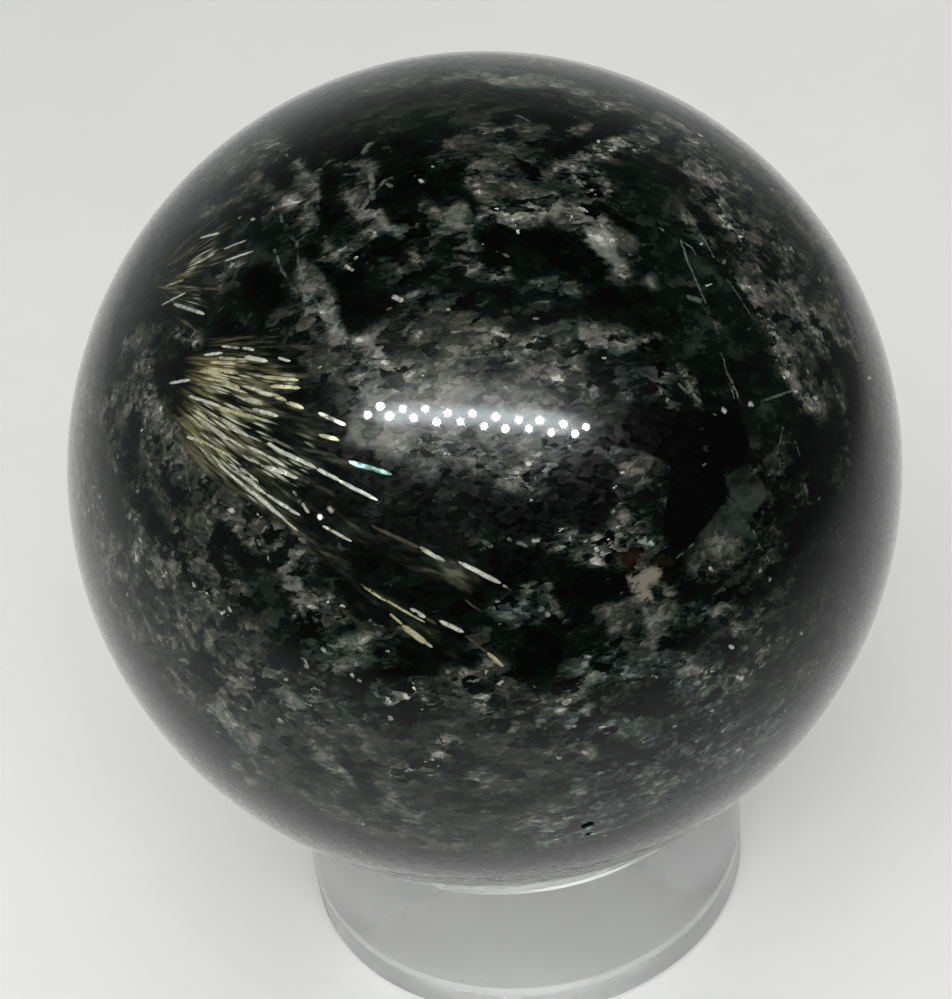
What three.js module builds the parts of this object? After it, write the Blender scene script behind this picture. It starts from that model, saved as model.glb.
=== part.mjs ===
// Polished stone sphere resting on a short clear ring stand.
// Millimetres, +Z up. The origin is the middle of the ring's underside, on the surface it stands on.

import * as THREE from 'three';
import { mergeVertices } from 'three/addons/utils/BufferGeometryUtils.js';

// Sphere
const SPHERE_RADIUS = 30;
const SPHERE_EDGE_DIVISIONS = 16; // parts that each icosahedron edge is divided into

// Ring stand, a short length of thick-walled clear tube
const RING_OUTER_RADIUS = 18;
const RING_BORE_RADIUS = 13;
const RING_HEIGHT = 14.4;
const RING_FACETS = 96;
const RIM_CHAMFER = 0.5; // outer top edge
const FOOT_OUTER_CHAMFER = 0.25;
const FOOT_INNER_CHAMFER = 0.2;

// Seat, the cone cut round the top of the bore that the sphere rests in
const SEAT_SLOPE = THREE.MathUtils.degToRad(30); // from the horizontal, falling towards the bore
const SEAT_MARGIN = 0.5; // how far the cone runs on outside the circle of contact
const SEAT_CLEARANCE = 0.05; // lift that keeps the flat facets of the two pieces from crossing

// The sphere touches the cone where its own surface has the cone's slope.
const contactRadius = SPHERE_RADIUS * Math.sin(SEAT_SLOPE);
const contactHeight = RING_HEIGHT - SEAT_MARGIN * Math.tan(SEAT_SLOPE);
const sphereCentreHeight = contactHeight + SPHERE_RADIUS * Math.cos(SEAT_SLOPE) + SEAT_CLEARANCE;

const seatTopRadius = contactRadius + SEAT_MARGIN;
const seatFootHeight = RING_HEIGHT - (seatTopRadius - RING_BORE_RADIUS) * Math.tan(SEAT_SLOPE);

const stone = new THREE.MeshStandardMaterial({
  color: 0x3b403c,
  roughness: 0.12,
  metalness: 0,
});

const clearPlastic = new THREE.MeshStandardMaterial({
  color: 0xdfe2dd,
  roughness: 0.08,
  metalness: 0,
  transparent: true,
  opacity: 0.35,
});

/** Joins the triangles of a geometry at their shared corners, so that it is one closed body. */
function closed(geometry) {
  geometry.deleteAttribute('normal');
  geometry.deleteAttribute('uv');
  const joined = mergeVertices(geometry);
  joined.computeVertexNormals();
  return joined;
}

/** The sphere, with corners spread evenly and one at each end of every axis. */
function makeSphere() {
  const geometry = closed(new THREE.IcosahedronGeometry(SPHERE_RADIUS, SPHERE_EDGE_DIVISIONS - 1));
  const sphere = new THREE.Mesh(geometry, stone);
  sphere.name = 'sphere';
  sphere.position.z = sphereCentreHeight;
  return sphere;
}

/** The ring stand: its section, given as radius and height, turned round the upright axis. */
function makeRingStand() {
  const section = [
    [RING_BORE_RADIUS + FOOT_INNER_CHAMFER, 0],
    [RING_OUTER_RADIUS - FOOT_OUTER_CHAMFER, 0],
    [RING_OUTER_RADIUS, FOOT_OUTER_CHAMFER],
    [RING_OUTER_RADIUS, RING_HEIGHT - RIM_CHAMFER],
    [RING_OUTER_RADIUS - RIM_CHAMFER, RING_HEIGHT],
    [seatTopRadius, RING_HEIGHT],
    [RING_BORE_RADIUS, seatFootHeight],
    [RING_BORE_RADIUS, FOOT_INNER_CHAMFER],
  ].map(([radius, height]) => new THREE.Vector2(radius, height));
  const turned = new THREE.LatheGeometry([...section, section[0]], RING_FACETS);
  const ring = new THREE.Mesh(closed(turned), clearPlastic);
  ring.name = 'ring_stand';
  ring.rotation.x = Math.PI / 2; // the lathe turns round Y, and the stand is upright along Z
  return ring;
}

const group = new THREE.Group();
group.add(makeRingStand(), makeSphere());

export default group;
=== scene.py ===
"""Looks of the astrophyllite sphere: polished rock with needle sprays, on a clear ring stand."""

import logging
import math
import random
from collections.abc import Sequence
from dataclasses import dataclass, field
from enum import Enum

import bmesh
import bpy
import numpy as np
from mathutils import Matrix, Vector


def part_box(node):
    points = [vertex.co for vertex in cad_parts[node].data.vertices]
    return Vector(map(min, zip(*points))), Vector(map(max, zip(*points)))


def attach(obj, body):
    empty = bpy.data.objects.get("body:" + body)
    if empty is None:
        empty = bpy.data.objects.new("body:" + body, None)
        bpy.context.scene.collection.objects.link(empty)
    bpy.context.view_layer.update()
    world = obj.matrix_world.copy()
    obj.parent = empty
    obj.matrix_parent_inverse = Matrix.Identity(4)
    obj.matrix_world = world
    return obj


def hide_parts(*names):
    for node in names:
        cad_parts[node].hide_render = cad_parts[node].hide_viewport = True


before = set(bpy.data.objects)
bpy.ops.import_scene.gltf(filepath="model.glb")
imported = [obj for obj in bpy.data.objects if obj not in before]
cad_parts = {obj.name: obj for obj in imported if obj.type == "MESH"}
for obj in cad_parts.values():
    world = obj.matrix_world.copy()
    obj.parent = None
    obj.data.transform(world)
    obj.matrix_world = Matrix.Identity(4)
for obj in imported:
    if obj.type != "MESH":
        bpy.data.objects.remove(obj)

MM = 0.001
LOG = logging.getLogger("astrophyllite_sphere")

Pixel = tuple[float, float]
Colour = tuple[float, float, float, float]


def srgb(red: float, green: float, blue: float) -> Colour:
    """Turn a colour as seen on a screen, 0 to 255, into the linear colour that a shader takes.

    Args:
        red: Red part.
        green: Green part.
        blue: Blue part.

    Returns:
        The linear colour with full alpha.
    """
    parts = []
    for part in (red, green, blue):
        share = part / 255
        parts.append(share / 12.92 if share <= 0.04045 else ((share + 0.055) / 1.055) ** 2.4)
    return (*parts, 1.0)


def unit(vectors: np.ndarray) -> np.ndarray:
    """Scale each row to length 1."""
    return vectors / np.linalg.norm(vectors, axis=-1, keepdims=True)


# Camera


@dataclass
class PhotoView:
    """The photograph's viewpoint, measured from the middle of the sphere.

    Attributes:
        target: Middle of the sphere, in metres.
        sphere_radius: Radius of the sphere, in metres.
        distance: From the middle of the sphere to the camera, in metres.
        elevation: How far the camera stands above the sphere's level, in degrees.
        roll: Turn of the camera about its own axis, in degrees.
        aim_right: How far right of the picture's middle the sphere stands, as a tangent.
        aim_up: How far above the picture's middle the sphere stands, as a tangent.
        focal: Focal length in pixels of the photograph.
        width: Width of the photograph in pixels.
        height: Height of the photograph in pixels.
        sensor_height: Height of the camera's sensor, in millimetres.
        nearest: Nearest thing that the camera shows, in metres.
    """

    target: Vector
    sphere_radius: float
    distance: float = 0.150
    elevation: float = 36.84
    roll: float = -6.57
    aim_right: float = 0.0041
    aim_up: float = 0.0144
    focal: float = 2047.0
    width: int = 952
    height: int = 999
    sensor_height: float = 36.0
    nearest: float = 0.005

    def axes(self) -> np.ndarray:
        """Find the camera's own axes.

        Returns:
            Three rows: its right, its up and the way back from the scene.
        """
        lift, roll = math.radians(self.elevation), math.radians(self.roll)
        back = np.array([0.0, -math.cos(lift), math.sin(lift)])
        right = np.array([1.0, 0.0, 0.0])
        up = np.cross(back, right)
        level = np.array([right, up, back])
        turned = np.array(Matrix.Rotation(-roll, 3, "Z")) @ level
        ahead = Vector((0.0, 0.0, -1.0))
        aim = Vector((self.aim_right, self.aim_up, -1.0))
        return np.array(ahead.rotation_difference(aim).to_matrix()) @ turned

    def position(self) -> np.ndarray:
        """Find where the camera stands, in metres."""
        lift = math.radians(self.elevation)
        back = np.array([0.0, -math.cos(lift), math.sin(lift)])
        return np.array(self.target) + self.distance * back

    def normal_at(self, pixel: Pixel) -> np.ndarray:
        """Find which way the sphere faces at a pixel of the photograph.

        Args:
            pixel: Place in the photograph, right and down from its top left corner.

        Returns:
            The outward direction there, or that of the nearest limb if the pixel misses the sphere.
        """
        across = (pixel[0] - self.width / 2) / self.focal
        down = (pixel[1] - self.height / 2) / self.focal
        ray = unit(self.axes().T @ np.array([across, -down, -1.0]))
        start = self.position() - np.array(self.target)
        nearest = -float(start @ ray)
        closest = start + nearest * ray
        gap = self.sphere_radius**2 - float(closest @ closest)
        if gap <= 0:
            return unit(closest)
        return unit(closest - math.sqrt(gap) * ray)

    def mirror_at(self, pixel: Pixel) -> tuple[np.ndarray, np.ndarray]:
        """Find the line along which a pixel of the sphere mirrors the room.

        Args:
            pixel: Place in the photograph.

        Returns:
            The point on the sphere and the direction from there to what it mirrors.
        """
        normal = self.normal_at(pixel)
        point = np.array(self.target) + self.sphere_radius * normal
        view = unit(self.position() - point)
        return point, 2 * float(normal @ view) * normal - view

    def build(self) -> None:
        """Make the camera and let the scene look through it."""
        data = bpy.data.cameras.new("photo_view")
        data.sensor_fit = "VERTICAL"
        data.sensor_height = self.sensor_height
        data.lens = self.focal / self.height * data.sensor_height
        data.clip_start = self.nearest
        camera = bpy.data.objects.new("photo_view", data)
        bpy.context.scene.collection.objects.link(camera)
        turn = Matrix(self.axes().T.tolist()).to_4x4()
        camera.matrix_world = Matrix.Translation(Vector(self.position())) @ turn
        bpy.context.scene.camera = camera


# Shader wiring


Socket = bpy.types.NodeSocket


@dataclass
class Wiring:
    """A node tree, with short ways to add the kinds of node that this object's finishes use.

    Attributes:
        tree: The tree of a material or of a node group.
    """

    tree: bpy.types.NodeTree

    def add(self, kind: str, **settings: object) -> bpy.types.Node:
        """Add a node.

        Args:
            kind: Blender's name for the kind of node, without its ShaderNode prefix.
            **settings: Properties of the node to set.

        Returns:
            The new node.
        """
        node = self.tree.nodes.new("ShaderNode" + kind)
        for name, value in settings.items():
            setattr(node, name, value)
        return node

    def feed(self, socket: Socket, value: object) -> None:
        """Link a socket into an input, or set the input to a constant.

        Args:
            socket: The input.
            value: An output socket, a number, a vector or a colour.
        """
        if isinstance(value, Socket):
            self.tree.links.new(value, socket)
        else:
            socket.default_value = value

    def maths(self, operation: str, *values: object, clamp: bool = False) -> Socket:
        """Work out one number from others.

        Args:
            operation: The Math node's operation.
            *values: Its inputs.
            clamp: Whether to hold the result between 0 and 1.

        Returns:
            The result.
        """
        node = self.add("Math", operation=operation, use_clamp=clamp)
        for socket, value in zip(node.inputs, values):
            self.feed(socket, value)
        return node.outputs[0]

    def vector(self, operation: str, *values: object, scale: object = None) -> Socket:
        """Work out one vector from others.

        Args:
            operation: The Vector Math node's operation.
            *values: Its vector inputs.
            scale: The factor of a SCALE operation.

        Returns:
            The result.
        """
        node = self.add("VectorMath", operation=operation)
        for socket, value in zip(node.inputs, values):
            self.feed(socket, value)
        if scale is not None:
            self.feed(node.inputs["Scale"], scale)
        return node.outputs["Value" if operation in ("LENGTH", "DOT_PRODUCT") else "Vector"]

    def total(self, *terms: tuple[object, float]) -> Socket:
        """Add up terms, each times its own weight.

        Args:
            *terms: Pairs of a value and its weight.

        Returns:
            The weighted sum.
        """
        value, weight = terms[0]
        result = self.maths("MULTIPLY", value, weight)
        for value, weight in terms[1:]:
            result = self.maths("MULTIPLY_ADD", value, weight, result)
        return result

    def step(self, value: object, low: float, high: float, to: float = 1.0) -> Socket:
        """Rise smoothly from 0 at low to a top value at high, which may be the lower of the two.

        Args:
            value: What is measured.
            low: Where the result is 0.
            high: Where the result reaches its top value.
            to: The top value.

        Returns:
            The result.
        """
        node = self.add("MapRange", interpolation_type="SMOOTHSTEP")
        for name, put in (("Value", value), ("From Min", low), ("From Max", high), ("To Max", to)):
            self.feed(node.inputs[name], put)
        return node.outputs[0]

    def blend(self, share: object, first: object, second: object, how: str = "MIX") -> Socket:
        """Mix two colours.

        Args:
            share: How much of the second is used, 0 to 1.
            first: The first colour.
            second: The second colour.
            how: The blend type.

        Returns:
            The mixed colour.
        """
        node = self.add("Mix", data_type="RGBA", blend_type=how)
        self.feed(node.inputs[0], share)
        self.feed(node.inputs[6], first)
        self.feed(node.inputs[7], second)
        return node.outputs[2]

    def ramp(self, value: object, stops: tuple[tuple[float, Colour], ...], how: str = "LINEAR") -> Socket:
        """Colour a number by a ramp.

        Args:
            value: The number.
            stops: Places along the ramp and their colours.
            how: How colours change between the places.

        Returns:
            The colour.
        """
        node = self.add("ValToRGB")
        node.color_ramp.interpolation = how
        marks = node.color_ramp.elements
        while len(marks) < len(stops):
            marks.new(0.5)
        for mark, (place, colour) in zip(marks, stops):
            mark.position = place
            mark.color = colour
        self.feed(node.inputs[0], value)
        return node.outputs[0]

    def noise(self, where: object, size: float, detail: float = 4.0, rough: float = 0.6,
              dimensions: str = "3D") -> bpy.types.Node:
        """Add cloudy noise.

        Args:
            where: The coordinates.
            size: Size of its lumps, in the coordinates' unit.
            detail: Octaves of finer noise.
            rough: How strong the finer octaves are.
            dimensions: 2D, 3D or 4D.

        Returns:
            The noise node.
        """
        node = self.add("TexNoise", noise_dimensions=dimensions)
        self.feed(node.inputs["Vector"], where)
        self.feed(node.inputs["Scale"], 1 / size)
        self.feed(node.inputs["Detail"], detail)
        self.feed(node.inputs["Roughness"], rough)
        return node

    def cells(self, where: object, size: float, feature: str = "F1",
              dimensions: str = "3D") -> bpy.types.Node:
        """Add crystal-like cells.

        Args:
            where: The coordinates.
            size: Size of a cell, in the coordinates' unit.
            feature: F1, DISTANCE_TO_EDGE and so on.
            dimensions: 2D or 3D.

        Returns:
            The Voronoi node.
        """
        node = self.add("TexVoronoi", feature=feature, voronoi_dimensions=dimensions)
        self.feed(node.inputs["Vector"], where)
        self.feed(node.inputs["Scale"], 1 / size)
        return node

    def shifted(self, where: object, size: float, reach: float, detail: float = 3.0) -> Socket:
        """Push coordinates about by noise, so that shapes drawn in them get uneven outlines.

        Args:
            where: The coordinates.
            size: Size of the noise's lumps.
            reach: How far the coordinates move at most.
            detail: Octaves of finer noise.

        Returns:
            The moved coordinates.
        """
        noise = self.noise(where, size, detail)
        centred = self.vector("SUBTRACT", noise.outputs["Color"], (0.5, 0.5, 0.5))
        return self.vector("ADD", where, self.vector("SCALE", centred, scale=2 * reach))

    def field(self, name: str, part: str = "Fac") -> Socket:
        """Read one of the mesh's own fields, as a number or as a Vector."""
        return self.add("Attribute", attribute_name=name).outputs[part]

    def channels(self, colour: Socket) -> tuple[Socket, Socket, Socket]:
        """Split a colour into three numbers."""
        node = self.add("SeparateColor")
        self.feed(node.inputs[0], colour)
        return node.outputs[0], node.outputs[1], node.outputs[2]


def new_material(name: str) -> tuple[bpy.types.Material, Wiring, bpy.types.Node]:
    """Start a material.

    Args:
        name: Its name.

    Returns:
        The material, its wiring and its Principled shader.
    """
    material = bpy.data.materials.new(name)
    material.use_nodes = True
    return material, Wiring(material.node_tree), material.node_tree.nodes["Principled BSDF"]


def smudge_group() -> bpy.types.NodeTree:
    """Build the shared effect of faint finger smudges and dust on a polished surface.

    Returns:
        A node group that takes Position and Size in millimetres and gives Smudge, 0 to 1.
    """
    group = bpy.data.node_groups.new("smudges", "ShaderNodeTree")
    group.interface.new_socket("Position", in_out="INPUT", socket_type="NodeSocketVector")
    group.interface.new_socket("Size", in_out="INPUT", socket_type="NodeSocketFloat")
    group.interface.new_socket("Smudge", in_out="OUTPUT", socket_type="NodeSocketFloat")
    inputs = group.nodes.new("NodeGroupInput").outputs
    outputs = group.nodes.new("NodeGroupOutput").inputs
    wire = Wiring(group)
    scale = wire.maths("DIVIDE", 1.0, inputs["Size"])
    where = wire.vector("SCALE", inputs["Position"], scale=scale)
    cloud = wire.noise(where, 1.0, 5.0, 0.62).outputs["Fac"]
    specks = wire.noise(where, 0.05, 2.0, 0.5).outputs["Fac"]
    soft = wire.step(cloud, 0.45, 0.72)
    dust = wire.step(specks, 0.66, 0.78, 0.5)
    wire.feed(outputs["Smudge"], wire.maths("MAXIMUM", soft, dust))
    return group


# The rock's pattern


class Mineral(Enum):
    """What a patch of the rock's surface is made of: lightness, warmth and how broken up it is."""

    GROUND = (0.14, 0.34, 0.55)  # near-black, faintly green
    GREEN = (0.24, 0.28, 0.44)  # deep green amphibole
    TEAL = (0.34, 0.02, 0.86)  # blue-grey
    MOTTLE = (0.36, 0.53, 0.75)  # fine brown-grey feldspar and mica
    GRAIN = (0.42, 0.46, 1.08)  # crisp grey grains with glints
    PALE = (0.61, 0.40, 0.70)  # smooth pale grey feldspar
    WHITE = (0.74, 0.42, 0.75)  # brightest feldspar
    DARK = (0.02, 0.36, 0.50)  # black, with few grains
    EVEN = (0.37, 0.42, 0.55)  # brown-grey, evenly mixed
    OLIVE = (0.21, 0.46, 0.70)  # dark olive mica

    @property
    def paint(self) -> np.ndarray:
        """Lightness, warmth and brokenness as numbers."""
        return np.array(self.value)


class Mark(Enum):
    """Fields of their own on the rock, by name."""

    BLACK = "black"  # black crystal with straight edges
    FACET = "facet"  # grey-green cleavage faces
    CREAM = "cream"  # cream feldspar
    RUST = "rust"  # iron stain
    SHEEN = "sheen"  # closest needles, and painted glint: where needles are drawn brightest


@dataclass(frozen=True)
class Stroke:
    """A patch along a line on the sphere.

    Attributes:
        kind: What it is made of.
        half_width: From its middle line to its edge, in millimetres.
        pixels: Places in the photograph that the middle line joins.
        strength: How solid it is.
    """

    kind: Mineral | Mark
    half_width: float
    pixels: tuple[Pixel, ...]
    strength: float = 1.0


@dataclass(frozen=True)
class Facet:
    """A crystal face with straight edges.

    Attributes:
        kind: What it is made of, or the field that holds it.
        pixels: Its corners in the photograph, in order round it.
        strength: How solid it is.
    """

    kind: Mineral | Mark
    pixels: tuple[Pixel, ...]
    strength: float = 1.0


class Streak(Enum):
    """What a fine line on the rock is, numbered in the order of the finish's streak colours."""

    VEIN = 0  # pale feldspar vein
    GLINT = 1  # painted glint: a single grain drawn bright as if catching the light
    NEEDLE = 2  # silvery needle, drawn at the brightness of its painted glint
    GOLD = 3  # yellowish needle, drawn at the brightness of its painted glint
    TEAL = 4  # blue-green needle
    DULL = 5  # needle that doesn't catch the light


@dataclass(frozen=True)
class Line:
    """A fine line on the sphere, drawn sharper than the mesh is divided.

    Attributes:
        kind: What it is.
        half_width: From its middle to its edge, in millimetres.
        pixels: Places in the photograph that it joins.
    """

    kind: Streak
    half_width: float
    pixels: tuple[Pixel, ...]


@dataclass(frozen=True)
class Pit:
    """A small hole in the polished surface.

    Attributes:
        start: One end of its middle line, in the photograph.
        end: The other end.
        half_width: From its middle line to its rim, in millimetres.
        depth: How deep it is, in millimetres.
    """

    start: Pixel
    end: Pixel
    half_width: float
    depth: float


@dataclass(frozen=True)
class Spray:
    """A fan of bronze needles that spread from one point of the sphere.

    Attributes:
        nucleus: Where the needles start, as a direction from the sphere's middle.
        aim: A direction that the middle of the fan points towards.
        inner: Distance from the nucleus to the nearest needles, in millimetres.
        outer: Distance from the nucleus to the farthest needles, in millimetres.
        half_angle: From the middle of the fan to its side, in degrees.
        strength: How closely the needles lie.
        lane: A number of the fan's own, so that no two fans look alike.
        crowd: Needles to a radian.
        haze: How much golden brown lies between the needles.
    """

    nucleus: np.ndarray
    aim: np.ndarray
    inner: float
    outer: float
    half_angle: float
    strength: float
    lane: int
    crowd: float
    haze: float


MOTTLE, GRAIN, PALE, GREEN, WHITE = Mineral.MOTTLE, Mineral.GRAIN, Mineral.PALE, Mineral.GREEN, Mineral.WHITE
TEAL, DARK, OLIVE, EVEN, SHEEN = Mineral.TEAL, Mineral.DARK, Mineral.OLIVE, Mineral.EVEN, Mark.SHEEN
VEIN, GLINT, NEEDLE, GOLD, DULL = Streak.VEIN, Streak.GLINT, Streak.NEEDLE, Streak.GOLD, Streak.DULL
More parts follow.
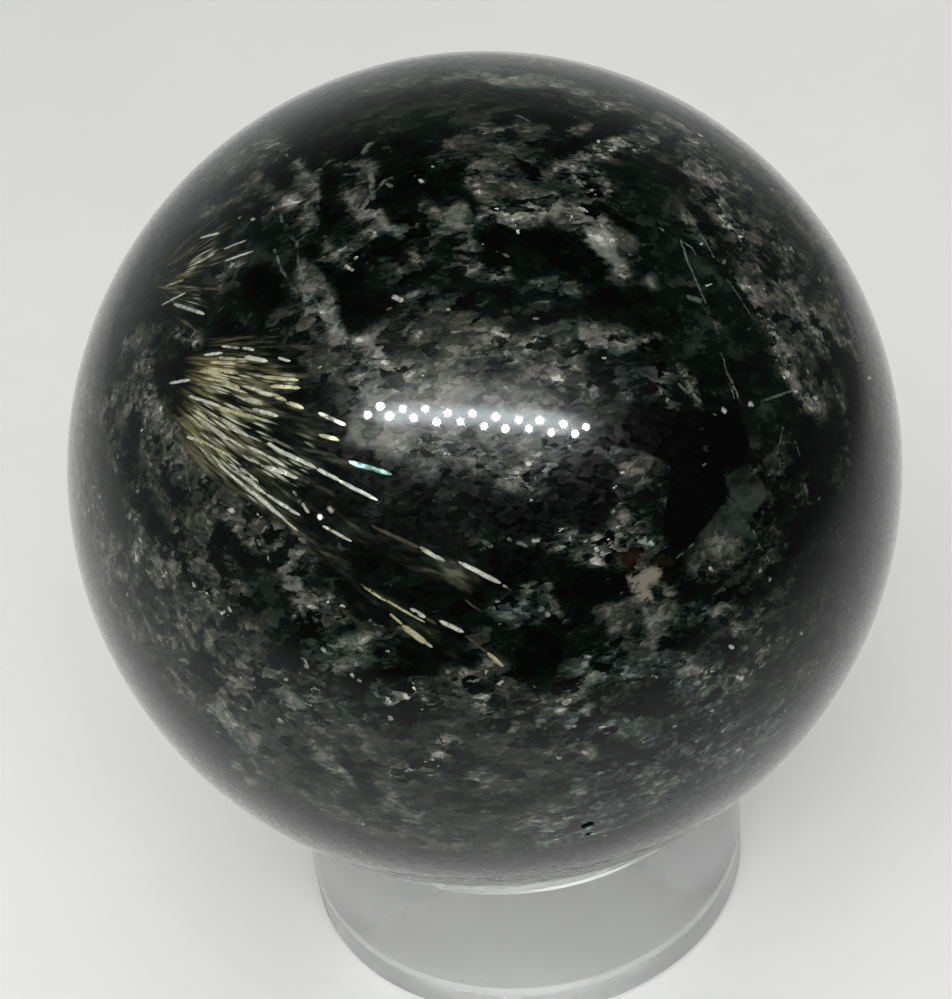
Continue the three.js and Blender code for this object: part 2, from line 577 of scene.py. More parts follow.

# Patches of the side that the photograph shows, each over those before it
STROKES = tuple(Stroke(*row) for row in (
    # Broad zones
    (MOTTLE, 4.5, ((85, 430), (100, 500), (130, 580), (190, 660), (260, 730), (350, 790), (430, 820))),
    (MOTTLE, 3.0, ((170, 450), (200, 520), (225, 590), (235, 640), (300, 700))),
    (EVEN, 4.5, ((300, 770), (400, 760), (480, 750), (540, 740), (580, 790), (500, 820))),
    # Partly painted reflection: these blue-grey belts along the lower limb are blue-grey rock and the pale
    # floor mirrored in the polish
    (TEAL, 3.5, ((600, 700), (680, 660), (750, 640), (780, 690), (700, 740), (620, 780))),
    (TEAL, 2.5, ((560, 830), (650, 800), (720, 770), (790, 700))),
    (TEAL, 1.6, ((310, 705), (350, 710), (400, 705)), 0.8),
    (OLIVE, 4.0, ((835, 440), (820, 500), (800, 580), (770, 620), (830, 650)), 0.9),
    (OLIVE, 2.0, ((795, 445), (785, 480), (770, 530), (740, 600)), 0.9),
    (MOTTLE, 3.0, ((640, 110), (700, 150), (740, 200), (780, 250), (820, 300), (850, 350), (860, 400))),
    (MOTTLE, 1.6, ((672, 150), (705, 180), (735, 230), (760, 280), (790, 340), (812, 390))),
    (MOTTLE, 2.5, ((500, 80), (560, 95), (620, 105), (680, 150)), 0.8),
    (MOTTLE, 2.0, ((290, 130), (245, 155), (200, 190)), 0.9),
    (GREEN, 3.0, ((310, 120), (380, 105), (460, 105), (500, 98))),
    (GREEN, 2.4, ((185, 215), (230, 205), (258, 215), (262, 240))),
    (GREEN, 2.6, ((150, 250), (120, 310), (110, 340))),
    (GREEN, 1.8, ((632, 170), (645, 200), (662, 225), (655, 180))),
    (GREEN, 2.6, ((580, 290), (640, 300), (700, 290), (740, 340), (760, 380), (700, 350)), 0.7),
    (DARK, 2.0, ((370, 155), (400, 165), (430, 180), (410, 200)), 0.5),
    (DARK, 1.3, ((856, 378), (866, 430), (862, 500), (850, 560)), 0.8),
    (MOTTLE, 1.8, ((535, 535), (575, 550), (610, 590), (645, 630)), 0.75),
    (MOTTLE, 1.4, ((470, 70), (420, 80), (350, 95)), 0.6),
    # Upper left
    (GRAIN, 0.6, ((258, 152), (272, 142), (288, 145)), 0.7),
    (MOTTLE, 1.2, ((262, 168), (280, 180), (300, 200), (300, 225)), 0.7),
    (DARK, 0.6, ((272, 168), (285, 182))),
    (MOTTLE, 1.3, ((335, 172), (350, 178), (348, 200), (360, 172))),
    (GRAIN, 0.4, ((343, 200), (350, 197))),
    (MOTTLE, 1.1, ((340, 250), (352, 226), (370, 222), (372, 240))),
    (MOTTLE, 1.1, ((400, 245), (430, 225), (425, 250))),
    (GRAIN, 0.4, ((322, 260), (330, 255))),
    (GRAIN, 0.5, ((338, 256), (345, 268))),
    (GRAIN, 0.35, ((357, 250), (372, 262))),
    (DARK, 1.4, ((258, 284), (276, 298))),
    (GREEN, 1.0, ((285, 240), (284, 262), (300, 285))),
    (GRAIN, 1.0, ((312, 294), (325, 298), (318, 306))),
    (GRAIN, 0.8, ((325, 335), (345, 346), (372, 344), (392, 338))),
    (DARK, 1.4, ((340, 288), (362, 310), (385, 318))),
    (DARK, 0.9, ((385, 245), (392, 268))),
    (TEAL, 1.0, ((382, 272), (408, 296), (440, 308), (465, 302)), 0.9),
    (GRAIN, 0.3, ((394, 298), (402, 296))),
    (MOTTLE, 1.4, ((285, 322), (310, 345), (345, 365), (370, 375)), 0.9),
    (MOTTLE, 1.9, ((395, 345), (430, 335), (470, 335), (490, 360), (420, 370))),
    (GRAIN, 1.1, ((368, 372), (385, 380), (410, 385))),
    (PALE, 1.1, ((378, 394), (420, 390), (500, 396), (540, 406)), 0.8),
    (PALE, 1.2, ((366, 430), (395, 436), (425, 444)), 0.95),
    (PALE, 0.6, ((402, 458), (430, 471)), 0.6),
    (GRAIN, 1.3, ((440, 442), (500, 448), (555, 452)), 0.7),
    (GRAIN, 0.3, ((412, 333), (418, 334))),
    # Left edge
    (MOTTLE, 1.6, ((130, 350), (160, 345), (150, 375), (120, 400))),
    (GRAIN, 0.8, ((165, 338), (155, 360), (140, 372), (128, 392)), 0.9),
    (GRAIN, 1.2, ((150, 408), (162, 428), (150, 440)), 0.8),
    (GRAIN, 0.5, ((172, 330), (192, 338), (198, 345)), 0.8),
    (DARK, 0.5, ((172, 470), (180, 500)), 0.8),
    (GREEN, 1.0, ((106, 485), (118, 515), (130, 540))),
    (GRAIN, 0.8, ((132, 515), (140, 560), (160, 568)), 0.8),
    (GRAIN, 0.8, ((160, 550), (175, 560), (190, 555)), 0.7),
    # Top
    (PALE, 0.7, ((440, 82), (475, 75), (500, 82)), 0.6),
    (PALE, 1.3, ((510, 82), (545, 80), (575, 88)), 0.8),
    (MOTTLE, 1.9, ((470, 150), (520, 140), (560, 150), (600, 140))),
    (MOTTLE, 1.7, ((450, 175), (500, 175), (545, 180), (575, 180), (580, 215))),
    (MOTTLE, 1.4, ((440, 205), (480, 200), (520, 205), (550, 200))),
    (DARK, 0.6, ((632, 118), (605, 133), (568, 148), (530, 166))),
    (DARK, 0.6, ((540, 150), (556, 134), (568, 118)), 0.6),
    (GRAIN, 0.7, ((598, 150), (620, 143), (642, 146))),
    (GRAIN, 1.0, ((590, 162), (582, 175), (598, 188)), 0.9),
    (GRAIN, 1.0, ((470, 195), (478, 225), (470, 258), (456, 218)), 0.9),
    (GRAIN, 1.0, ((490, 212), (512, 220), (530, 215))),
    (GRAIN, 0.9, ((580, 212), (598, 218), (600, 235)), 0.8),
    (GRAIN, 0.8, ((588, 250), (606, 262), (618, 270))),
    (DARK, 1.7, ((538, 258), (560, 262), (580, 262))),
    (DARK, 1.0, ((488, 240), (498, 262))),
    (MOTTLE, 1.3, ((470, 290), (500, 300), (530, 300)), 0.6),
    (GRAIN, 0.3, ((490, 278), (508, 272))),
    (TEAL, 0.8, ((540, 290), (560, 285), (575, 295)), 0.7),
    # Middle band
    (PALE, 1.0, ((520, 352), (548, 338), (590, 334)), 0.5),
    (GRAIN, 0.7, ((540, 345), (570, 350), (600, 340), (655, 345)), 0.8),
    (MOTTLE, 1.1, ((505, 362), (535, 366), (555, 362))),
    (GRAIN, 0.7, ((560, 378), (575, 372), (590, 392)), 0.6),
    (TEAL, 1.0, ((618, 362), (628, 388), (650, 378), (665, 400)), 0.9),
    (GRAIN, 0.35, ((682, 370), (690, 385), (698, 402))),
    (GRAIN, 0.3, ((653, 380), (662, 392))),
    # Right
    (PALE, 0.3, ((683, 210), (700, 232)), 0.6),
    (GRAIN, 0.9, ((660, 138), (672, 135), (686, 150), (700, 140)), 0.8),
    (GRAIN, 0.6, ((705, 135), (716, 152)), 0.8),
    (GRAIN, 0.9, ((710, 175), (722, 190), (722, 212), (735, 228)), 0.9),
    (GRAIN, 0.5, ((745, 285), (756, 305), (766, 322), (776, 334)), 0.9),
    (GRAIN, 0.6, ((778, 345), (788, 372), (798, 388), (816, 405))),
    (GRAIN, 0.5, ((813, 312), (828, 330)), 0.9),
    (DARK, 0.7, ((826, 336), (838, 358)), 0.7),
    (GRAIN, 0.5, ((845, 338), (858, 362)), 0.7),
    (TEAL, 0.25, ((726, 372), (736, 396))),
    (GRAIN, 0.35, ((804, 486), (807, 503))),
    # Round the black crystal
    (GRAIN, 1.1, ((478, 448), (500, 468), (525, 480), (548, 492)), 0.75),
    (TEAL, 1.2, ((560, 440), (600, 445), (580, 460))),
    (DARK, 1.5, ((572, 488), (598, 500), (590, 480))),
    (GRAIN, 0.9, ((622, 475), (624, 505), (632, 525)), 0.9),
    (MOTTLE, 1.2, ((640, 480), (655, 500), (650, 470))),
    (GRAIN, 1.2, ((560, 528), (572, 545), (590, 553), (612, 560)), 0.95),
    (PALE, 0.45, ((588, 556), (604, 562)), 0.7),
    (GRAIN, 0.8, ((605, 535), (640, 530), (655, 540))),
    (DARK, 1.2, ((560, 575), (600, 585), (625, 575))),
    (DARK, 1.0, ((505, 560), (530, 565))),
    (Mark.RUST, 0.55, ((622, 560), (636, 556), (655, 560), (668, 563))),
    (GRAIN, 0.5, ((545, 590), (550, 610), (562, 617))),
    (GRAIN, 0.4, ((526, 588), (540, 588)), 0.8),
    (TEAL, 0.9, ((505, 612), (535, 612)), 0.9),
    (GRAIN, 0.35, ((706, 566), (714, 572))),
    # Lower left
    (GRAIN, 1.0, ((236, 518), (262, 534), (286, 540)), 0.85),
    (DARK, 0.6, ((222, 532), (240, 552), (256, 572)), 0.8),
    (GRAIN, 1.5, ((295, 565), (308, 595), (300, 630), (325, 600)), 0.75),
    (GRAIN, 0.5, ((328, 600), (345, 618))),
    (GREEN, 1.3, ((264, 585), (272, 615), (282, 648))),
    (PALE, 0.3, ((140, 608), (150, 630)), 0.8),
    (GRAIN, 0.4, ((200, 588), (218, 608))),
    (TEAL, 1.1, ((320, 662), (345, 655), (370, 640), (385, 655)), 0.8),
    (GRAIN, 0.8, ((330, 662), (362, 650), (378, 640)), 0.5),
    (GRAIN, 1.2, ((408, 700), (440, 690), (472, 682), (488, 700)), 0.8),
    (DARK, 1.0, ((415, 662), (455, 658), (500, 640), (545, 650))),
    (DARK, 0.9, ((350, 772), (372, 795)), 0.5),
    (PALE, 0.4, ((362, 740), (372, 756)), 0.6),
    (GRAIN, 0.8, ((392, 772), (430, 766), (446, 742)), 0.8),
    (GRAIN, 0.6, ((470, 770), (485, 780)), 0.7),
    # Lower right
    (GRAIN, 1.2, ((500, 715), (530, 725), (560, 700)), 0.7),
    (GRAIN, 0.5, ((585, 708), (594, 712))),
    (DARK, 1.1, ((608, 692), (632, 700)), 0.5),
    (GREEN, 1.0, ((652, 688), (656, 708)), 0.9),
    (GREEN, 1.0, ((604, 748), (628, 752)), 0.8),
    (GREEN, 0.9, ((752, 698), (768, 694)), 0.8),
    (PALE, 0.7, ((618, 722), (636, 736), (656, 722)), 0.5),
    (GRAIN, 0.8, ((690, 660), (705, 680), (740, 676)), 0.8),
    (GRAIN, 0.4, ((736, 628), (758, 632)), 0.8),
    # Gaps between grains, and grains that cross the zones above
    (DARK, 1.2, ((442, 186), (462, 206)), 0.7),
    (DARK, 1.0, ((598, 306), (640, 308), (665, 318)), 0.85),
    (DARK, 1.0, ((562, 508), (592, 520)), 0.9),
    (DARK, 1.1, ((480, 500), (515, 518), (548, 516)), 0.85),
    (DARK, 1.2, ((448, 552), (440, 590), (465, 600)), 0.8),
    (MOTTLE, 0.9, ((482, 640), (512, 634)), 0.7),
    (DARK, 0.9, ((325, 188), (342, 230)), 0.7),
    (DARK, 0.9, ((370, 270), (392, 290)), 0.7),
    (DARK, 1.1, ((510, 705), (545, 725)), 0.4),
    (DARK, 1.2, ((365, 705), (395, 725)), 0.4),
    (DARK, 1.2, ((690, 628), (710, 650)), 0.45),
    (DARK, 1.0, ((526, 665), (556, 690)), 0.5),
    (DARK, 1.0, ((485, 302), (515, 325)), 0.4),
    (DARK, 1.3, ((355, 585), (385, 620), (395, 665)), 0.4),
    (DARK, 1.0, ((640, 505), (658, 520)), 0.6),
    (DARK, 0.9, ((735, 585), (755, 600)), 0.5),
    (MOTTLE, 1.6, ((735, 150), (790, 205), (830, 270), (856, 330)), 0.8),
    (GRAIN, 0.9, ((645, 128), (675, 140), (700, 165)), 0.8),
    (GRAIN, 0.8, ((690, 226), (706, 240)), 0.6),
    (MOTTLE, 1.5, ((165, 450), (170, 500), (182, 540)), 0.65),
    (MOTTLE, 1.2, ((200, 266), (232, 276)), 0.65),
    (MOTTLE, 1.0, ((245, 188), (268, 206)), 0.65),
    (MOTTLE, 1.2, ((205, 630), (232, 655)), 0.6),
    (DARK, 0.9, ((168, 232), (185, 240)), 0.35),
    (DARK, 1.0, ((90, 430), (102, 452)), 0.35),
    (MOTTLE, 1.0, ((232, 506), (258, 530), (284, 552)), 0.75),
    (MOTTLE, 0.8, ((402, 628), (430, 636)), 0.6),
    (GRAIN, 0.8, ((452, 672), (474, 690)), 0.6),
    (GREEN, 0.8, ((484, 352), (512, 362)), 0.6),
    (DARK, 1.2, ((250, 350), (300, 355)), 0.5),
    (DARK, 1.2, ((162, 345), (175, 400)), 0.5),
    (DARK, 1.5, ((480, 800), (545, 795)), 0.3),
    (PALE, 1.0, ((648, 590), (665, 605)), 0.6),
    (GRAIN, 1.0, ((575, 548), (640, 556)), 0.9),
    (PALE, 0.8, ((490, 438), (522, 444)), 0.6),
    (GRAIN, 0.9, ((765, 262), (800, 308), (822, 345)), 0.7),
    (GRAIN, 0.9, ((448, 226), (470, 246)), 0.5),
    (GREEN, 0.9, ((165, 345), (172, 375)), 0.8),
    (PALE, 0.8, ((608, 232), (628, 244)), 0.7),
    (MOTTLE, 1.0, ((490, 668), (515, 690)), 0.8),
    (MOTTLE, 1.4, ((640, 112), (672, 138)), 0.9),
    (GRAIN, 0.9, ((522, 150), (550, 165)), 0.5),
    (GRAIN, 0.8, ((770, 232), (790, 255)), 0.6),
    (MOTTLE, 1.3, ((168, 470), (190, 520)), 0.9),
    (DARK, 1.4, ((850, 370), (862, 430), (858, 500)), 0.8),
    (DARK, 2.2, ((812, 450), (820, 500), (808, 560)), 0.5),
    (MOTTLE, 1.6, ((225, 268), (205, 290)), 0.6),
    (GRAIN, 1.0, ((488, 345), (515, 350)), 0.8),
    (GRAIN, 1.1, ((210, 205), (262, 190)), 0.3),
    # Closest needles, with painted glint where they are drawn brightest
    (SHEEN, 0.5, ((185, 352), (240, 352), (275, 362))),
    (SHEEN, 0.9, ((200, 378), (260, 385), (305, 398))),
    (SHEEN, 1.1, ((195, 412), (230, 425), (260, 440))),
    (SHEEN, 0.9, ((185, 432), (230, 470), (305, 545))),
    (SHEEN, 1.0, ((262, 452), (320, 478), (380, 500))),
    (SHEEN, 0.35, ((400, 540), (450, 560), (510, 590))),
    (SHEEN, 0.45, ((365, 588), (395, 610), (430, 640))),
    (SHEEN, 0.6, ((190, 268), (215, 245), (240, 232))),
    (SHEEN, 0.6, ((165, 308), (195, 303))),
))

FACETS = tuple(Facet(*row) for row in (
    # Upper left
    (PALE, ((292, 160), (300, 157), (310, 168), (320, 182), (322, 200), (315, 201), (305, 188),
            (298, 176)), 0.6),
    (WHITE, ((281, 199), (290, 195), (298, 203), (291, 210), (283, 207)), 0.9),
    (PALE, ((303, 204), (312, 210), (317, 222), (309, 227), (301, 216)), 0.9),
    (PALE, ((296, 264), (303, 257), (314, 263), (326, 276), (335, 291), (342, 308), (330, 314), (314, 300),
            (298, 282)), 0.75),
    (DARK, ((311, 301), (316, 295), (326, 297), (323, 305), (315, 307)), 0.6),
    (WHITE, ((323, 313), (334, 309), (341, 322), (347, 336), (341, 342), (330, 337), (325, 326)), 0.9),
    (WHITE, ((372, 200), (379, 208), (388, 220), (398, 228), (411, 223), (408, 231), (396, 238), (384, 230),
             (375, 214)), 0.6),
    (PALE, ((440, 215), (450, 205), (462, 200), (471, 210), (463, 228), (448, 232)), 0.8),
    (PALE, ((384, 275), (404, 288), (425, 298), (462, 302), (448, 309), (420, 311), (400, 300)), 0.35),
    (PALE, ((440, 352), (455, 345), (471, 350), (468, 366), (458, 376), (445, 368)), 0.4),
    (WHITE, ((352, 340), (368, 337), (374, 346), (364, 352), (352, 349)), 0.5),
    # Top
    (WHITE, ((545, 194), (556, 191), (563, 205), (557, 222), (549, 214)), 0.5),
    (WHITE, ((587, 231), (600, 229), (613, 238), (615, 250), (629, 262), (621, 272), (606, 263), (598, 255),
             (589, 246)), 0.85),
    (WHITE, ((644, 277), (652, 275), (658, 286), (652, 291), (646, 285)), 0.7),
    (PALE, ((517, 345), (540, 334), (568, 330), (600, 326), (626, 322), (632, 331), (590, 342), (556, 350),
            (530, 354)), 0.25),
    # Round the black crystal
    (Mark.BLACK, ((607, 445), (628, 415), (655, 402), (668, 412), (730, 410), (745, 428), (750, 447),
                  (742, 468), (724, 468), (727, 495), (703, 531), (690, 545), (662, 535), (668, 490),
                  (672, 465), (640, 450))),
    (OLIVE, ((744, 447), (765, 455), (780, 500), (775, 560), (740, 600), (700, 590), (684, 558),
             (728, 497))),
    (Mark.FACET, ((742, 464), (752, 470), (763, 480), (768, 496), (756, 512), (745, 515), (730, 496),
                  (724, 478))),
    (Mark.FACET, ((729, 497), (745, 518), (756, 537), (742, 540), (716, 533), (700, 545), (690, 562),
                  (680, 560), (697, 536))),
    (PALE, ((690, 545), (716, 533), (742, 540), (745, 555), (732, 568), (706, 575), (686, 570)), 0.45),
    (PALE, ((705, 541), (716, 536), (730, 538), (738, 546), (733, 555), (720, 558), (708, 553)), 0.85),
    (Mark.FACET, ((596, 408), (620, 401), (633, 409), (612, 432))),
    (WHITE, ((617, 511), (627, 509), (634, 518), (624, 522)), 0.8),
    (Mark.CREAM, ((626, 576), (637, 574), (646, 569), (654, 563), (662, 572), (658, 582), (648, 584),
                  (651, 594), (659, 605), (645, 602), (632, 592))),
    (PALE, ((642, 606), (655, 604), (662, 612), (664, 625), (668, 636), (655, 638), (646, 630)), 0.95),
    (PALE, ((604, 606), (614, 602), (613, 614), (624, 618), (620, 628), (608, 635)), 0.6),
    (PALE, ((713, 612), (720, 601), (730, 602), (722, 611), (717, 617)), 0.9),
    # Lower left
    (PALE, ((204, 636), (212, 641), (219, 653), (213, 658), (206, 648))),
    (PALE, ((322, 663), (335, 656), (352, 661), (349, 668), (330, 669)), 0.3),
    (PALE, ((342, 648), (356, 640), (372, 650), (378, 662), (366, 668), (353, 659)), 0.25),
    (PALE, ((270, 680), (290, 689), (304, 699), (309, 711), (296, 707), (280, 695))),
    (PALE, ((210, 706), (222, 698), (232, 716), (247, 731), (258, 735), (262, 746), (252, 756), (240, 748),
            (226, 730))),
    (WHITE, ((226, 757), (240, 761), (245, 772), (234, 770)), 0.7),
    (WHITE, ((241, 774), (254, 777), (259, 786), (247, 785)), 0.6),
    (PALE, ((307, 739), (318, 744), (335, 758), (350, 775), (358, 791), (344, 778), (328, 769),
            (316, 757)), 0.95),
    (PALE, ((378, 800), (392, 795), (405, 806), (421, 815), (422, 825), (404, 825), (396, 812),
            (384, 812)), 0.95),
    # Lower right
    (PALE, ((575, 668), (585, 660), (596, 666), (598, 676), (586, 682), (577, 677)), 0.9),
    (PALE, ((580, 705), (590, 702), (596, 712), (588, 719), (580, 714)), 0.7),
    (PALE, ((579, 735), (592, 738), (599, 757), (590, 760), (582, 748)), 0.7),
    (PALE, ((647, 800), (660, 785), (676, 777), (679, 785), (662, 795), (655, 804)), 0.8),
    (GREEN, ((645, 682), (655, 676), (668, 690), (660, 712), (648, 710)), 0.9),
    (GREEN, ((604, 740), (628, 742), (634, 756), (612, 760)), 0.7),
))

# Fine lines, and painted glints of single grains
LINES = tuple(Line(*row) for row in (
    # Pale veins and grains, upper half
    (VEIN, 0.11, ((278, 203), (283, 224), (290, 235), (297, 242), (298, 260))),
    (VEIN, 0.11, ((281, 151), (301, 166), (318, 188), (318, 210))),
    (VEIN, 0.11, ((298, 260), (303, 280), (314, 299), (329, 316), (341, 341))),
    (VEIN, 0.09, ((275, 250), (282, 271), (296, 292))),
    (VEIN, 0.24, ((364, 152), (369, 145), (383, 143), (388, 151))),
    (VEIN, 0.19, ((369, 165), (372, 182), (372, 198))),
    (VEIN, 0.14, ((372, 193), (384, 181), (391, 186))),
    (VEIN, 0.15, ((371, 196), (364, 206), (359, 214))),
    (VEIN, 0.15, ((384, 181), (392, 178))),
    (VEIN, 0.17, ((306, 301), (314, 292), (326, 293), (332, 301), (320, 309), (308, 308))),
    (GLINT, 0.11, ((346, 266), (352, 270))),
    (GLINT, 0.14, ((394, 297), (401, 300))),
    (GLINT, 0.14, ((413, 333), (421, 333))),
    (VEIN, 0.19, ((369, 375), (377, 373))),
    (GLINT, 0.12, ((252, 219), (254, 219))),
    (GLINT, 0.08, ((262, 211), (264, 212))),
    (GLINT, 0.08, ((239, 217), (240, 218))),
    (GLINT, 0.11, ((420, 180), (424, 184))),
    (VEIN, 0.09, ((508, 113), (522, 117), (531, 123))),
    (GLINT, 0.11, ((505, 214), (509, 214))),
    (GLINT, 0.14, ((517, 218), (520, 218))),
    (GLINT, 0.10, ((541, 213), (545, 212))),
    (VEIN, 0.09, ((498, 252), (508, 256))),
    (VEIN, 0.09, ((492, 279), (500, 277))),
    (GLINT, 0.09, ((534, 319), (539, 319))),
    (GLINT, 0.09, ((660, 228), (663, 230))),
    (GLINT, 0.09, ((684, 167), (687, 170))),
    (GLINT, 0.11, ((720, 217), (725, 222))),
    (VEIN, 0.14, ((731, 228), (740, 240))),
    (VEIN, 0.09, ((681, 241), (688, 262), (697, 283), (706, 303), (714, 319))),
    (VEIN, 0.07, ((682, 241), (692, 248), (700, 262))),
    (VEIN, 0.06, ((714, 319), (721, 352), (734, 398))),
    (VEIN, 0.07, ((684, 204), (697, 228), (714, 257))),
    (VEIN, 0.07, ((727, 279), (744, 304), (760, 332))),
    (VEIN, 0.17, ((689, 297), (700, 301))),
    (GLINT, 0.06, ((706, 286), (712, 284))),
    (GLINT, 0.16, ((769, 327), (774, 332))),
    (VEIN, 0.06, ((745, 329), (759, 329))),
    (VEIN, 0.09, ((669, 373), (676, 380))),
    (VEIN, 0.09, ((679, 384), (688, 392))),
    (VEIN, 0.10, ((692, 392), (700, 402))),
    (VEIN, 0.09, ((655, 383), (662, 390))),
    (GLINT, 0.16, ((723, 410), (725, 411))),
    (VEIN, 0.09, ((728, 374), (735, 390), (740, 402))),
    (GLINT, 0.16, ((750, 404), (753, 404))),
    (VEIN, 0.08, ((762, 401), (780, 395), (797, 388))),
    (VEIN, 0.07, ((783, 428), (778, 448), (780, 466))),
    (VEIN, 0.07, ((795, 441), (800, 455))),
    (GLINT, 0.11, ((867, 378), (871, 378))),
    # Pale veins and grains, lower half
    (VEIN, 0.06, ((753, 530), (759, 544), (770, 561))),
    (VEIN, 0.06, ((693, 544), (677, 558))),
    (GLINT, 0.11, ((768, 578), (770, 580))),
    (VEIN, 0.13, ((805, 484), (808, 500))),
    (GLINT, 0.12, ((730, 646), (733, 648))),
    (GLINT, 0.17, ((738, 676), (742, 678))),
    (GLINT, 0.09, ((800, 633), (802, 634))),
    (VEIN, 0.09, ((737, 629), (748, 629))),
    (VEIN, 0.09, ((801, 671), (796, 684), (792, 694), (795, 702), (788, 716))),
    (VEIN, 0.09, ((784, 725), (773, 736), (760, 743), (757, 751))),
    (VEIN, 0.12, ((602, 824), (616, 820))),
    (GLINT, 0.14, ((583, 752), (587, 754))),
    (GLINT, 0.12, ((558, 758), (560, 758))),
    (GLINT, 0.12, ((534, 541), (538, 541))),
    (GLINT, 0.12, ((546, 594), (550, 596))),
    (GLINT, 0.12, ((547, 613), (548, 615))),
    (GLINT, 0.09, ((586, 657), (589, 657))),
    (GLINT, 0.11, ((653, 676), (656, 677))),
    (VEIN, 0.12, ((560, 536), (576, 532))),
    (GLINT, 0.11, ((710, 568), (714, 571))),
    (GLINT, 0.12, ((322, 649), (324, 650))),
    (GLINT, 0.11, ((352, 675), (353, 676))),
    (GLINT, 0.11, ((359, 680), (360, 681))),
    (GLINT, 0.20, ((303, 660), (306, 666))),
    (GLINT, 0.22, ((314, 690), (318, 692))),
    (GLINT, 0.16, ((279, 720), (282, 722))),
    (GLINT, 0.09, ((244, 709), (246, 710))),
    (GLINT, 0.09, ((185, 633), (186, 635))),
    (GLINT, 0.09, ((229, 608), (231, 611))),
    (GLINT, 0.16, ((149, 386), (154, 388))),
    (VEIN, 0.10, ((145, 622), (153, 632))),
    (VEIN, 0.09, ((186, 470), (190, 490))),
    (VEIN, 0.19, ((236, 518), (244, 522))),
    (GLINT, 0.10, ((294, 492), (300, 501))),
    (GLINT, 0.10, ((303, 504), (308, 512))),
    (GLINT, 0.16, ((330, 509), (332, 511))),
    (GLINT, 0.14, ((371, 621), (375, 624))),
    (GLINT, 0.09, ((379, 626), (382, 627))),
    # Brightest needles of the large fan, drawn with painted glint
    (NEEDLE, 0.08, ((222, 346), (239, 348))),
    (NEEDLE, 0.09, ((243, 348), (254, 350))),
    (NEEDLE, 0.13, ((245, 357), (267, 361))),
    (NEEDLE, 0.08, ((278, 358), (290, 361))),
    (GOLD, 0.09, ((219, 358), (236, 359))),
    (GOLD, 0.10, ((211, 362), (236, 364))),
    (GOLD, 0.13, ((209, 369), (238, 373))),
    (GOLD, 0.11, ((200, 371), (222, 375))),
    (NEEDLE, 0.09, ((204, 355), (222, 353))),
    (GOLD, 0.13, ((220, 380), (239, 388))),
    (NEEDLE, 0.10, ((170, 383), (190, 380))),
    (GOLD, 0.11, ((263, 377), (298, 380))),
    (GOLD, 0.11, ((271, 386), (300, 388))),
    (GOLD, 0.11, ((268, 394), (286, 400))),
    (GOLD, 0.13, ((286, 402), (303, 408))),
    (NEEDLE, 0.10, ((242, 399), (262, 404))),
    (NEEDLE, 0.12, ((253, 409), (278, 416))),
    (NEEDLE, 0.10, ((189, 396), (222, 407))),
    (GOLD, 0.13, ((220, 408), (258, 419))),
    (NEEDLE, 0.14, ((198, 418), (228, 439))),
    (NEEDLE, 0.11, ((222, 420), (248, 436))),
    (NEEDLE, 0.09, ((187, 437), (200, 440))),
    (GOLD, 0.09, ((198, 439), (230, 456))),
    (NEEDLE, 0.12, ((319, 413), (345, 425))),
    (GOLD, 0.11, ((320, 435), (339, 440))),
    (NEEDLE, 0.10, ((268, 443), (289, 456))),
    (NEEDLE, 0.12, ((286, 453), (316, 468), (339, 480))),
    (NEEDLE, 0.11, ((338, 480), (377, 500))),
    (Streak.TEAL, 0.14, ((349, 462), (391, 474))),
    (NEEDLE, 0.12, ((262, 466), (283, 473))),
    (NEEDLE, 0.10, ((283, 473), (297, 478))),
    (NEEDLE, 0.11, ((240, 468), (258, 482))),
    (NEEDLE, 0.09, ((218, 464), (250, 490))),
    (NEEDLE, 0.12, ((250, 490), (283, 518))),
    (GOLD, 0.08, ((281, 517), (298, 531))),
    (NEEDLE, 0.11, ((236, 471), (266, 494), (299, 515))),
    (NEEDLE, 0.09, ((323, 526), (351, 541))),
    (GOLD, 0.08, ((420, 547), (432, 553))),
    (NEEDLE, 0.11, ((421, 549), (445, 561))),
    (NEEDLE, 0.13, ((459, 562), (500, 583))),
    (GLINT, 0.09, ((504, 586), (511, 589))),
    (VEIN, 0.12, ((482, 541), (491, 546))),
    (VEIN, 0.11, ((509, 539), (526, 546))),
    (DULL, 0.10, ((445, 577), (456, 584))),
    (DULL, 0.06, ((465, 600), (482, 612))),
    (GOLD, 0.08, ((364, 587), (386, 601))),
    (GOLD, 0.08, ((384, 599), (424, 622))),
    (NEEDLE, 0.12, ((411, 609), (425, 617))),
    (GOLD, 0.09, ((390, 614), (402, 624))),
    (GOLD, 0.19, ((403, 626), (426, 643))),
    (NEEDLE, 0.10, ((419, 638), (432, 647))),
    (NEEDLE, 0.13, ((440, 621), (463, 632))),
    (GOLD, 0.12, ((488, 653), (503, 666))),
    (DULL, 0.11, ((372, 526), (420, 548))),
    (DULL, 0.10, ((446, 560), (459, 565))),
    (DULL, 0.09, ((361, 584), (384, 598))),
    (DULL, 0.10, ((424, 617), (436, 624))),
    (DULL, 0.09, ((464, 634), (486, 652))),
    # Brightest needles of the small fan, drawn with painted glint
    (NEEDLE, 0.09, ((200, 238), (219, 233))),
    (NEEDLE, 0.09, ((195, 263), (214, 254))),
    (NEEDLE, 0.08, ((224, 249), (247, 240))),
    (NEEDLE, 0.08, ((225, 261), (253, 251))),
    (NEEDLE, 0.08, ((162, 305), (185, 293))),
    (NEEDLE, 0.12, ((174, 304), (204, 314))),
    (GOLD, 0.08, ((166, 286), (183, 280))),
))

PITS = tuple(Pit(*row) for row in (
    ((585, 826), (590, 824), 0.30, 0.35),
    ((588, 834), (591, 833), 0.17, 0.22),
))

